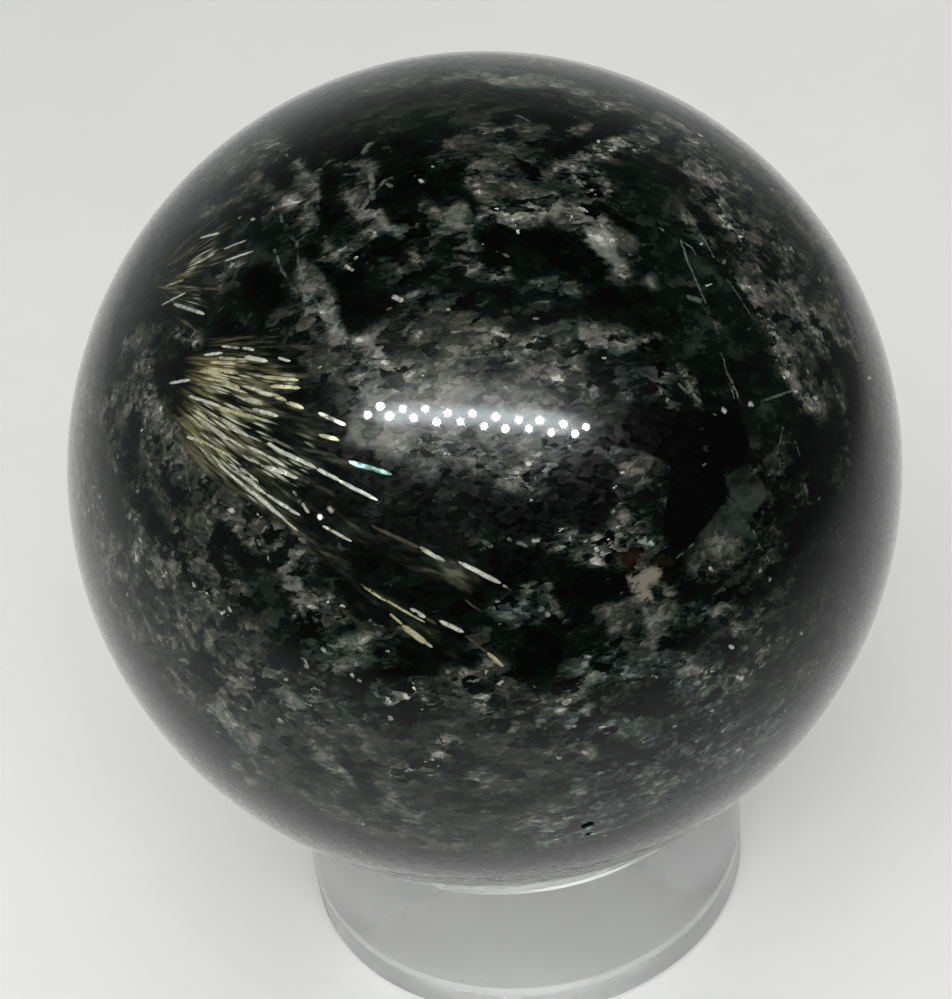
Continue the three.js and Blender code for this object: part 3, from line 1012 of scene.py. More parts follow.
# Needle sprays that the photograph shows. Each row has the nucleus, a pixel that the fan points at, and
# the rest of Spray's values. Fans from one nucleus share their lane and crowd, so that no seam shows.
LARGE_NUCLEUS, SMALL_NUCLEUS = (130, 365), (145, 287)
SPRAYS = (
    (LARGE_NUCLEUS, (300, 434), 6.6, 12.8, 23.0, 1.0, 1, 40.0, 1.0),
    (LARGE_NUCLEUS, (300, 446), 9.0, 15.5, 20.0, 1.0, 1, 40.0, 0.75),
    (LARGE_NUCLEUS, (300, 462), 12.5, 18.5, 14.0, 1.0, 1, 40.0, 0.4),
    (LARGE_NUCLEUS, (440, 545), 17.5, 28.5, 5.0, 0.3, 1, 40.0, 0.15),
    (LARGE_NUCLEUS, (430, 640), 17.5, 31.0, 4.0, 0.3, 1, 40.0, 0.15),
    (SMALL_NUCLEUS, (235, 258), 2.4, 8.5, 36.0, 0.7, 4, 34.0, 0.6),
)


@dataclass
class RockPattern:
    """Where each mineral lies on the sphere.

    Attributes:
        view: The photograph's viewpoint, which places the patches that it shows.
        radius: Radius of the sphere, in millimetres.
        seed: Seed of the patches on the side that the photograph doesn't show.
        guessed_sprays: How many needle sprays lie on that side.
    """

    view: PhotoView
    radius: float
    seed: int = 11
    guessed_sprays: int = 9

    def at(self, pixel: Pixel) -> np.ndarray:
        """Find the direction from the sphere's middle to a pixel of the photograph."""
        return self.view.normal_at(pixel)

    def sprays(self) -> list[Spray]:
        """List the needle sprays, first those that the photograph shows, then guessed ones.

        Returns:
            The sprays.
        """
        shown = [Spray(self.at(nucleus), self.at(aim), *rest) for nucleus, aim, *rest in SPRAYS]
        draw = random.Random(self.seed)
        first_lane = 1 + max(spray.lane for spray in shown)
        guessed = []
        for number in range(self.guessed_sprays):
            nucleus = self.hidden_direction(draw)
            aim = unit(nucleus + 0.7 * np.array([draw.gauss(0, 1) for _ in range(3)]))
            inner, outer, spread = draw.uniform(1.5, 4), draw.uniform(7, 15), draw.uniform(14, 34)
            guessed.append(Spray(nucleus, aim, inner, outer, spread, strength=0.9, lane=first_lane + number,
                                 crowd=60.0, haze=0.8))
        return shown + guessed

    def hidden_direction(self, draw: random.Random) -> np.ndarray:
        """Draw a direction on the side that the photograph doesn't show.

        Args:
            draw: Where the chances come from.

        Returns:
            The direction.
        """
        towards = unit(self.view.position() - np.array(self.view.target))
        limb = 0.12
        while True:
            found = unit(np.array([draw.gauss(0, 1) for _ in range(3)]))
            if float(found @ towards) < limb:
                return found

    def hidden_lines(self) -> list[tuple[Mineral, float, float, list[np.ndarray]]]:
        """Draw patches for the side that the photograph doesn't show.

        Returns:
            For each patch its mineral, half width, strength and the directions that it joins.
        """
        draw = random.Random(self.seed + 1)
        step, bend = 0.12, 0.5
        kinds = ((GREEN, 16, 3.0, 6.0), (MOTTLE, 36, 2.5, 6.0), (TEAL, 12, 2.0, 3.5), (GRAIN, 80, 0.8, 2.2),
                 (PALE, 36, 0.4, 1.3), (WHITE, 30, 0.25, 0.7), (DARK, 18, 0.8, 2.2))
        lines = []
        for mineral, count, narrow, wide in kinds:
            for _ in range(count):
                points = [self.hidden_direction(draw)]
                heading = np.array([draw.gauss(0, 1) for _ in range(3)])
                for _ in range(draw.randint(1, 3)):
                    heading = heading + bend * np.array([draw.gauss(0, 1) for _ in range(3)])
                    points.append(unit(points[-1] + step * unit(heading)))
                lines.append((mineral, draw.uniform(narrow, wide), draw.uniform(0.6, 1.0), points))
        return lines

    def distance(self, spots: np.ndarray, points: list[np.ndarray]) -> np.ndarray:
        """Measure how far spots lie from a line on the sphere.

        Args:
            spots: Directions of the spots.
            points: Directions that the line joins.

        Returns:
            The distances in millimetres.
        """
        best = np.full(len(spots), np.inf)
        for start, end in zip(points[:-1], points[1:]):
            along = end - start
            share = np.clip((spots - start) @ along / max(float(along @ along), 1e-9), 0, 1)
            nearest = unit(start + share[:, None] * along)
            best = np.minimum(best, np.linalg.norm(spots - nearest, axis=1))
        return best * self.radius

    def inside(self, spots: np.ndarray, corners: list[np.ndarray]) -> np.ndarray:
        """Measure how far spots lie inside a crystal face.

        Args:
            spots: Directions of the spots.
            corners: Directions of the face's corners.

        Returns:
            Distance to the face's nearest edge in millimetres, above 0 inside, down to -1 outside.
        """
        middle = unit(np.mean(corners, axis=0))
        right = unit(np.cross(middle, (0.3, 0.2, 1.0)))
        up = np.cross(middle, right)
        ahead = np.maximum(spots @ middle, 1e-3)
        flat = np.stack([spots @ right / ahead, spots @ up / ahead], axis=1)
        outline = [np.array([c @ right, c @ up]) / float(c @ middle) for c in corners]
        nearest = np.full(len(spots), np.inf)
        within = np.zeros(len(spots), bool)
        for start, end in zip(outline, outline[1:] + outline[:1]):
            along = end - start
            share = np.clip((flat - start) @ along / float(along @ along), 0, 1)
            nearest = np.minimum(nearest, np.linalg.norm(flat - start - share[:, None] * along, axis=1))
            crosses = (start[1] > flat[:, 1]) != (end[1] > flat[:, 1])
            rise = along[1] if abs(along[1]) > 1e-9 else 1e-9
            within ^= crosses & (flat[:, 0] < start[0] + (flat[:, 1] - start[1]) * along[0] / rise)
        signed = np.where(within, nearest, -nearest) * self.radius
        return np.clip(np.where(spots @ middle > 0.3, signed, -1), -1, 1)

    def fields(self, spots: np.ndarray) -> dict[str, np.ndarray]:
        """Work out every field of the pattern.

        Args:
            spots: Directions of the sphere's corners.

        Returns:
            Values by field name: lightness, warmth and brokenness, each mark, and the needles' own.
        """
        soft_stroke, soft_facet = 0.2, 0.3
        lines = [(s.kind, s.half_width, s.strength, [self.at(p) for p in s.pixels]) for s in STROKES]
        paint = np.tile(Mineral.GROUND.paint, (len(spots), 1))
        marks = {mark.value: np.full(len(spots), -1.0) for mark in Mark}
        for kind, half_width, strength, points in self.hidden_lines() + lines:
            outside = self.distance(spots, points) - half_width
            if isinstance(kind, Mineral):
                share = strength * np.clip(0.5 - outside / (0.35 * half_width + soft_stroke), 0, 1)[:, None]
                paint += (kind.paint - paint) * share
            else:
                near = np.clip(-outside / half_width, -1, 1)
                marks[kind.value] = np.maximum(marks[kind.value], near)
        for facet in FACETS:
            depth = self.inside(spots, [self.at(p) for p in facet.pixels])
            if isinstance(facet.kind, Mineral):
                share = facet.strength * np.clip(0.5 + depth / soft_facet, 0, 1)[:, None]
                paint += (facet.kind.paint - paint) * share
            else:
                marks[facet.kind.value] = np.maximum(marks[facet.kind.value], depth)
        painted = dict(zip(("light", "warmth", "broken"), paint.T))
        return painted | marks | self.needle_fields(spots)

    def needle_fields(self, spots: np.ndarray) -> dict[str, np.ndarray]:
        """Work out where needles lie and which way they run.

        Args:
            spots: Directions of the sphere's corners.

        Returns:
            The fields needles (-1 to 1), needle_across (in needles), needle_along (in millimetres) and
            haze (0 to 1).
        """
        fade, apart, widest = 2.5, 37.0, 14.0
        power = np.full(len(spots), -1.0)
        across = np.zeros(len(spots))
        along = np.zeros(len(spots))
        haze = np.zeros(len(spots))
        level = unit(np.array([0.2, 0.1, 1.0]))
        for spray in self.sprays():
            ahead = unit(spray.aim - float(spray.aim @ spray.nucleus) * spray.nucleus)
            side = np.cross(spray.nucleus, ahead)
            zero = unit(level - float(level @ spray.nucleus) * spray.nucleus)
            turn = math.atan2(float(ahead @ np.cross(spray.nucleus, zero)), float(ahead @ zero))
            reach = self.radius * np.arccos(np.clip(spots @ spray.nucleus, -1, 1))
            angle = np.arctan2(spots @ side, spots @ ahead)
            edge = (math.radians(spray.half_angle) - np.abs(angle)) * np.minimum(reach, widest)
            inset = np.minimum(np.minimum(reach - spray.inner, spray.outer - reach), edge)
            here = np.clip(inset / fade, -1, 1) * np.where(inset > 0, spray.strength, 1.0)
            wins = here > power
            power = np.where(wins, here, power)
            across = np.where(wins, (angle + turn) * spray.crowd + apart * spray.lane, across)
            along = np.where(wins, reach + apart * spray.lane, along)
            share = np.clip((reach - spray.inner) / (spray.outer - spray.inner), 0, 1)
            haze = np.where(wins, spray.haze * (1 - share**2), haze)
        return {"needles": power, "needle_across": across, "needle_along": along, "haze": haze}

    def streaks(self, spots: np.ndarray) -> dict[str, np.ndarray]:
        """Find the fine line nearest to each spot.

        Args:
            spots: Directions of the middles of the sphere's triangles.

        Returns:
            Fields streak_start and streak_end (in millimetres from the scene's origin), streak_size (half
            width in millimetres, 0 where there is none) and streak_kind.
        """
        reach, margin = 0.8, 0.05
        nearest = np.full(len(spots), reach)
        start, end = np.zeros((len(spots), 3)), np.zeros((len(spots), 3))
        size, kind = np.zeros(len(spots)), np.zeros(len(spots))
        middle = np.array(self.view.target) / MM
        for line in LINES:
            points = [self.at(p) for p in line.pixels]
            for one, two in zip(points[:-1], points[1:]):
                beside = spots @ unit(one + two) > math.cos(0.5 * np.linalg.norm(two - one) + margin)
                away = self.distance(spots[beside], [one, two]) - line.half_width
                wins = np.flatnonzero(beside)[away < nearest[beside]]
                nearest[wins] = away[away < nearest[beside]]
                start[wins] = middle + self.radius * one
                end[wins] = middle + self.radius * two
                size[wins] = line.half_width
                kind[wins] = line.kind.value
        return {"streak_start": start, "streak_end": end, "streak_size": size, "streak_kind": kind}

    def pit_depths(self, spots: np.ndarray) -> np.ndarray:
        """Work out how deep the sphere's pits are at spots, in millimetres.

        Args:
            spots: Directions of the spots.

        Returns:
            The depths.
        """
        depths = np.zeros(len(spots))
        wall = 0.6
        for pit in PITS:
            away = self.distance(spots, [self.at(pit.start), self.at(pit.end)])
            share = np.clip((pit.half_width - away) / (wall * pit.half_width), 0, 1)
            depths = np.maximum(depths, pit.depth * share)
        return depths


# Finishes


@dataclass(frozen=True)
class PolishedRock:
    """Finish of the sphere: astrophyllite-bearing rock under a hard polish.

    Attributes:
        tones: Colours of the rock from dark to light, each with the lightness that it stands for.
        tints: Tints from cold to warm patches, each with the warmth that it stands for.
        streaks: Colours of fine lines, in the order of Streak.
        facet_dark: Darker part of cleavage faces.
        facet_light: Lighter part of cleavage faces.
        cream: Cream feldspar.
        rust: Iron stain.
        fibres: Colours of the finest needles from dark to light, each with its place.
        bronze: Tint of the fans' golden brown parts.
        needle_olive: Dull needles.
        needle_silver: Bright needles and sparkles; their brightness is partly painted glint, drawn as if
            catching the lamps.
        needle_gold: Bright needles in golden haze; their brightness is partly painted glint.
        polish_weight: Weight of the polish.
        polish_roughness: Roughness of the polish.
        polish_index: Refractive index of the polish.
        cleavage_shine: Specular level of the grains under the polish.
        dust: Weight of the fine dust that shows at grazing angles.
        dust_roughness: How widely the dust scatters.
        smudge_size: Size of a finger smudge, in millimetres.
        smudge_weight: How much of the polish a smudge takes away.
    """

    tones: tuple[tuple[float, Colour], ...] = (
        (0.04, srgb(1, 2, 1)),
        (0.24, srgb(6, 14, 10)),
        (0.29, srgb(22, 27, 23)),
        (0.42, srgb(44, 46, 41)),
        (0.50, srgb(58, 60, 55)),
        (0.56, srgb(78, 77, 72)),
        (0.74, srgb(99, 99, 94)),
        (0.90, srgb(126, 126, 121)),
        (1.00, srgb(166, 166, 162)),
    )
    tints: tuple[tuple[float, Colour], ...] = (
        (0.00, (0.80, 0.96, 1.08, 1.0)),
        (0.25, (0.82, 1.04, 0.94, 1.0)),
        (0.50, (1.00, 1.02, 0.97, 1.0)),
        (1.00, (1.07, 1.00, 0.90, 1.0)),
    )
    # The glint colour and the silvery and yellowish needle colours are partly painted glint
    streaks: tuple[Colour, ...] = (
        srgb(88, 93, 86), srgb(166, 168, 158), srgb(206, 209, 192), srgb(192, 190, 148), srgb(118, 162, 148),
        srgb(72, 71, 56),
    )
    facet_dark: Colour = srgb(17, 23, 17)
    facet_light: Colour = srgb(60, 68, 59)
    cream: Colour = srgb(112, 107, 95)
    rust: Colour = srgb(31, 21, 13)
    fibres: tuple[tuple[float, Colour], ...] = (
        (0.15, srgb(4, 7, 5)),
        (0.45, srgb(17, 21, 16)),
        (0.65, srgb(42, 45, 35)),
        (0.90, srgb(86, 88, 70)),
    )
    bronze: Colour = (1.12, 0.96, 0.62, 1.0)
    needle_olive: Colour = srgb(100, 99, 72)
    needle_silver: Colour = srgb(198, 203, 188)
    needle_gold: Colour = srgb(192, 190, 142)
    polish_weight: float = 0.88
    polish_roughness: float = 0.03
    polish_index: float = 1.25
    cleavage_shine: float = 0.02
    dust: float = 0.075
    dust_roughness: float = 0.35
    smudge_size: float = 9.0
    smudge_weight: float = 0.12

    def build(self, smudges: bpy.types.NodeTree) -> bpy.types.Material:
        """Build the material.

        Args:
            smudges: The shared smudge effect.

        Returns:
            The material.
        """
        material, wire, shader = new_material("polished_rock")
        place = wire.vector("SCALE", wire.add("TexCoord").outputs["Object"], scale=1 / MM)
        colour, tilt, tone = self.minerals(wire, place)
        colour, shine = self.needles(wire, place, colour)
        colour, shine = self.lines(wire, place, colour, shine)
        # Painted shade: pits are coloured near black by depth, on top of being sunk
        pit = wire.step(wire.field("pit"), 0.05, 0.9)
        colour = wire.blend(pit, colour, self.tones[0][1])
        wire.feed(shader.inputs["Base Color"], colour)
        wire.feed(shader.inputs["Metallic"], wire.maths("MULTIPLY", shine, 0.5))
        wire.feed(shader.inputs["Roughness"], wire.maths("MULTIPLY_ADD", tone, 0.12, 0.20))
        facing = wire.add("NewGeometry").outputs["Normal"]
        wire.feed(shader.inputs["Normal"], wire.vector("NORMALIZE", wire.vector("ADD", facing, tilt)))
        shader.inputs["Specular IOR Level"].default_value = self.cleavage_shine
        shader.inputs["Sheen Weight"].default_value = self.dust
        shader.inputs["Sheen Roughness"].default_value = self.dust_roughness
        shader.inputs["Coat Roughness"].default_value = self.polish_roughness
        shader.inputs["Coat IOR"].default_value = self.polish_index
        smudge = wire.add("Group", node_tree=smudges)
        wire.feed(smudge.inputs["Position"], place)
        smudge.inputs["Size"].default_value = self.smudge_size
        clean = wire.maths("MULTIPLY_ADD", smudge.outputs[0], -self.smudge_weight, self.polish_weight)
        whole = wire.maths("SUBTRACT", 1.0, pit)
        wire.feed(shader.inputs["Coat Weight"], wire.maths("MULTIPLY", clean, whole))
        return material

    def minerals(self, wire: Wiring, place: Socket) -> tuple[Socket, Socket, Socket]:
        """Colour the rock apart from its needles.

        Args:
            wire: The material's wiring.
            place: Position in millimetres.

        Returns:
            The colour, the tilt of each grain's cleavage and a value that differs from grain to grain.
        """
        flat = wire.vector("MULTIPLY", place, (0.6, 1.0, 1.0))
        torn = wire.shifted(flat, 0.7, 0.45)
        cloud = wire.noise(flat, 2.2, 4.0, 0.65).outputs["Fac"]
        fine = wire.noise(torn, 0.42, 3.0, 0.7).outputs["Fac"]
        shards = wire.cells(torn, 0.8)
        chips = wire.cells(torn, 0.3)
        shard_tone, shard_kind, _ = wire.channels(shards.outputs["Color"])
        chip_tone, chip_luck, chip_size = wire.channels(chips.outputs["Color"])
        broken = wire.field("broken")

        hole = wire.step(shard_kind, 0.26, 0.20, 0.30)
        flake = wire.step(chip_tone, 0.86, 1.0, 0.3)
        # Painted glints: small bright spots in grainy clouds, standing in for cleavage faces that catch the
        # light
        spark = wire.maths("MULTIPLY", wire.step(chip_size, 0.90, 0.95, 0.42), wire.step(cloud, 0.46, 0.58))
        swell_middle, ripple_middle = 0.69, 0.585
        swell = wire.total((shard_tone, 0.28), (cloud, 1.1))
        swell = wire.maths("SUBTRACT", swell, swell_middle)
        ripple = wire.total((chip_tone, 0.12), (fine, 1.15), (flake, 1.0), (hole, -1.0), (spark, 0.9))
        ripple = wire.maths("SUBTRACT", ripple, ripple_middle)
        light = wire.maths("MULTIPLY_ADD", swell, broken, wire.field("light"))
        light = wire.maths("MULTIPLY_ADD", ripple, wire.maths("MULTIPLY", broken, broken), light)
        colour = wire.ramp(light, self.tones)
        warmth = wire.total((wire.field("warmth"), 1.0), (cloud, 0.9), (shard_tone, 0.14))
        tint = wire.ramp(wire.maths("SUBTRACT", warmth, 0.52), self.tints)
        colour = wire.blend(1.0, colour, tint, "MULTIPLY")

        edge = wire.total((fine, 0.3), (chip_tone, 0.05))
        black_share = wire.step(wire.maths("ADD", wire.field("black"), edge), 0.14, 0.24)
        colour = wire.blend(black_share, colour, self.tones[0][1])
        face = wire.blend(wire.step(cloud, 0.36, 0.68), self.facet_dark, self.facet_light)
        facet_share = wire.step(wire.total((wire.field("facet"), 1.0), (edge, 1.2)), 0.12, 0.42, 0.55)
        colour = wire.blend(facet_share, colour, face)
        cream_share = wire.step(wire.total((wire.field("cream"), 1.0), (fine, 1.0)), 0.40, 0.75, 0.95)
        stained = wire.step(wire.total((fine, 1.0), (shard_tone, 0.4)), 0.55, 0.45, 0.8)
        colour = wire.blend(cream_share, colour, wire.blend(stained, self.cream, self.rust))
        rusty = wire.total((wire.field("rust"), 0.6), (fine, 2.0), (hole, 1.0))
        colour = wire.blend(wire.step(rusty, 0.9, 1.9, 0.8), colour, self.rust)

        # Painted glints: tiny dots drawn in the needles' silver, where grains would flash in the light
        near = wire.maths("MULTIPLY_ADD", chip_size, 0.3, 0.15)
        dot = wire.maths("LESS_THAN", chips.outputs["Distance"], near)
        lucky = wire.step(wire.total((chip_luck, 1.0), (broken, 0.08)), 1.03, 1.09)
        colour = wire.blend(wire.maths("MULTIPLY", dot, lucky), colour, self.needle_silver)
        tilt = wire.vector("SUBTRACT", chips.outputs["Color"], (0.5, 0.5, 0.5))
        tilt = wire.vector("SCALE", tilt, scale=wire.maths("MULTIPLY", broken, 0.13))
        return colour, tilt, chip_size

    def needles(self, wire: Wiring, place: Socket, colour: Socket) -> tuple[Socket, Socket]:
        """Lay the bronze needles over the rock.

        Args:
            wire: The material's wiring.
            place: Position in millimetres.
            colour: The rock's colour.

        Returns:
            The colour, and how much of a needle the surface is.
        """
        along = wire.field("needle_along")
        sway = wire.noise(place, 9.0, 1.0, 0.5).outputs["Fac"]
        across = wire.maths("MULTIPLY_ADD", sway, 5.0, wire.field("needle_across"))
        # Painted glint: the sheen field marks where needles are drawn brightest, as well as closest
        sheen = wire.step(wire.field("sheen"), -0.5, 0.6)
        golden = wire.field("haze")

        fibres = wire.add("CombineXYZ")
        wire.feed(fibres.inputs[0], across)
        wire.feed(fibres.inputs[1], wire.maths("MULTIPLY", along, 0.5))
        patchy = wire.noise(fibres.outputs[0], 4.5, 3.0, 0.6, "2D").outputs["Fac"]
        fibre = wire.noise(fibres.outputs[0], 1.1, 2.0, 0.55, "2D").outputs["Fac"]
        cover = wire.total((wire.field("needles"), 1.6), (patchy, 2.2), (wire.field("sheen"), 0.3))
        cover = wire.step(cover, 1.65, 2.50)
        ground = wire.total((fibre, 1.5), (patchy, 1.2), (golden, 0.36), (sheen, 0.14))
        ground = wire.ramp(wire.maths("SUBTRACT", ground, 1.06), self.fibres)
        ground = wire.blend(wire.maths("MULTIPLY", golden, 0.9), ground, self.bronze, "MULTIPLY")
        ground_share = wire.step(wire.total((wire.field("needles"), 0.9), (patchy, 1.3)), 0.45, 1.15, 0.92)
        colour = wire.blend(ground_share, colour, ground)

        # Two layers of blades, each with its crowd as a share of the fan's and its length in millimetres
        shine = None
        layer_shift = 5.3
        for number, (crowd, length) in enumerate(((1.0, 2.6), (1.5, 1.7))):
            lane = wire.add("CombineXYZ")
            wire.feed(lane.inputs[0], wire.maths("MULTIPLY", across, crowd))
            wire.feed(lane.inputs[1], wire.maths("MULTIPLY_ADD", along, 1 / length, layer_shift * number))
            blades = wire.cells(lane.outputs[0], 1.0, dimensions="2D")
            luck, _, strong = wire.channels(blades.outputs["Color"])
            body = wire.step(blades.outputs["Distance"], 0.42, 0.10)
            there = wire.step(wire.total((luck, -1.0), (sheen, 0.5)), -0.24, -0.16)
            blade = wire.maths("MULTIPLY", wire.maths("MULTIPLY", body, there), cover)
            # Partly painted glint: some blades are drawn bright, most where the sheen field lies, standing
            # in for lamp light that they catch
            bright = wire.step(wire.total((strong, 1.0), (sheen, 0.55), (fibre, 0.8)), 0.75, 1.6)
            pale = wire.blend(wire.maths("MULTIPLY", golden, 0.6), self.needle_silver, self.needle_gold)
            metal = wire.blend(bright, self.needle_olive, pale)
            weight = wire.maths("MULTIPLY", blade, wire.maths("MULTIPLY_ADD", bright, 0.5, 0.5))
            colour = wire.blend(weight, colour, metal)
            shine = weight if shine is None else wire.maths("MAXIMUM", shine, weight)
        return colour, shine

    def lines(self, wire: Wiring, place: Socket, colour: Socket, shine: Socket) -> tuple[Socket, Socket]:
        """Draw the fine lines: each triangle knows the line nearest to it.

        Args:
            wire: The material's wiring.
            place: Position in millimetres.
            colour: The rock's colour.
            shine: How much of a needle the surface is.

        Returns:
            The colour and the shine with the lines on them.
        """
        start, end = (wire.field(name, "Vector") for name in ("streak_start", "streak_end"))
        size, kind = wire.field("streak_size"), wire.field("streak_kind")
        metal = wire.maths("GREATER_THAN", kind, Streak.GLINT.value + 0.5)
        bends = wire.vector("SUBTRACT", wire.noise(place, 0.5, 2.0).outputs["Color"], (0.5, 0.5, 0.5))
        bends = wire.vector("SCALE", bends, scale=wire.maths("MULTIPLY_ADD", metal, -0.14, 0.24))
        wobble = wire.vector("ADD", place, bends)
        along = wire.vector("SUBTRACT", end, start)
        rel = wire.vector("SUBTRACT", wobble, start)
        share = wire.maths("DIVIDE", wire.vector("DOT_PRODUCT", rel, along),
                           wire.vector("DOT_PRODUCT", along, along), clamp=True)
        away = wire.vector("LENGTH", wire.vector("SUBTRACT", rel, wire.vector("SCALE", along, scale=share)))
        off_middle = wire.maths("ABSOLUTE", wire.maths("MULTIPLY_ADD", share, 2.0, -1.0))
        taper = wire.maths("MULTIPLY", wire.maths("POWER", off_middle, 6.0), metal)
        width = wire.maths("MULTIPLY", size, wire.maths("MULTIPLY_ADD", taper, -0.6, 1.0))
        drawn = wire.step(wire.maths("DIVIDE", away, wire.maths("MAXIMUM", width, 0.001)), 1.3, 0.5)
        apart = 1 / len(self.streaks)
        stops = tuple((apart * place, tone) for place, tone in enumerate(self.streaks))
        tones = wire.ramp(wire.maths("MULTIPLY_ADD", kind, apart, 0.01), stops, "CONSTANT")
        sparkle = wire.noise(place, 1.1, 2.0, 0.6).outputs["Fac"]
        dimmer = wire.maths("MULTIPLY_ADD", wire.step(sparkle, 0.36, 0.60), 0.4, 0.6)
        tones = wire.vector("SCALE", tones, scale=dimmer)
        blotch = wire.noise(place, 0.9, 3.0, 0.6).outputs["Fac"]
        worn = wire.step(wire.total((blotch, 1.0), (metal, 0.12)), 0.38, 0.60, 0.95)
        drawn = wire.maths("MULTIPLY", drawn, worn)
        colour = wire.blend(drawn, colour, tones)
        return colour, wire.maths("MAXIMUM", shine, wire.maths("MULTIPLY", drawn, metal))


@dataclass(frozen=True)
class ClearPlastic:
    """Finish of the ring stand: clear acrylic, polished on its walls and sawn on its foot.

    Attributes:
        tint: Colour of light that passes through, kept greyer than clear acrylic as painted shade of the
            sphere over the stand.
        index: Refractive index.
        clearness: Share of the light that the plastic lets through unscattered.
        edge_clearness: The same share at the bore's worn bottom edge.
        wall_roughness: Roughness of the turned and polished faces.
        foot_roughness: Roughness of the sawn foot.
        bore_roughness: Roughness of the rim's edge, the seat and the drilled bore.
        smudge_size: Size of a finger smudge, in millimetres.
        smudge_roughness: Roughness that a smudge adds.
    """

    tint: Colour = (0.76, 0.765, 0.755, 1.0)
    index: float = 1.49
    clearness: float = 0.92
    edge_clearness: float = 0.45
    wall_roughness: float = 0.10
    foot_roughness: float = 0.45
    bore_roughness: float = 0.40
    smudge_size: float = 5.0
    smudge_roughness: float = 0.08

    def build(self, name: str, roughness: float, clearness: float,
              smudges: bpy.types.NodeTree) -> bpy.types.Material:
        """Build one of the stand's materials.

        Args:
            name: The material's name.
            roughness: Roughness of a clean face.
            clearness: Share of the light that it lets through unscattered.
            smudges: The shared smudge effect.

        Returns:
            The material.
        """
        material, wire, shader = new_material(name)
        place = wire.vector("SCALE", wire.add("TexCoord").outputs["Object"], scale=1 / MM)
        smudge = wire.add("Group", node_tree=smudges)
        wire.feed(smudge.inputs["Position"], place)
        smudge.inputs["Size"].default_value = self.smudge_size
        rough = wire.maths("MULTIPLY_ADD", smudge.outputs[0], self.smudge_roughness, roughness)
        wire.feed(shader.inputs["Roughness"], rough)
        # Painted shade: the tint is greyer than the clear plastic, standing in for the sphere's shade on the
        # stand
        shader.inputs["Base Color"].default_value = self.tint
        shader.inputs["Transmission Weight"].default_value = clearness
        shader.inputs["IOR"].default_value = self.index
        return material


# Pieces


def new_piece(name: str, mesh: bpy.types.Mesh, node: str) -> bpy.types.Object:
    """Put a mesh into the scene as a piece that stands for a solid.

    Args:
        name: Name of the piece.
        mesh: Its mesh, in metres where the solid is.
        node: The solid that it stands for.

    Returns:
        The piece.
    """
    piece = bpy.data.objects.new(name, mesh)
    bpy.context.scene.collection.objects.link(piece)
    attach(piece, "root")
    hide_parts(node)
    return piece


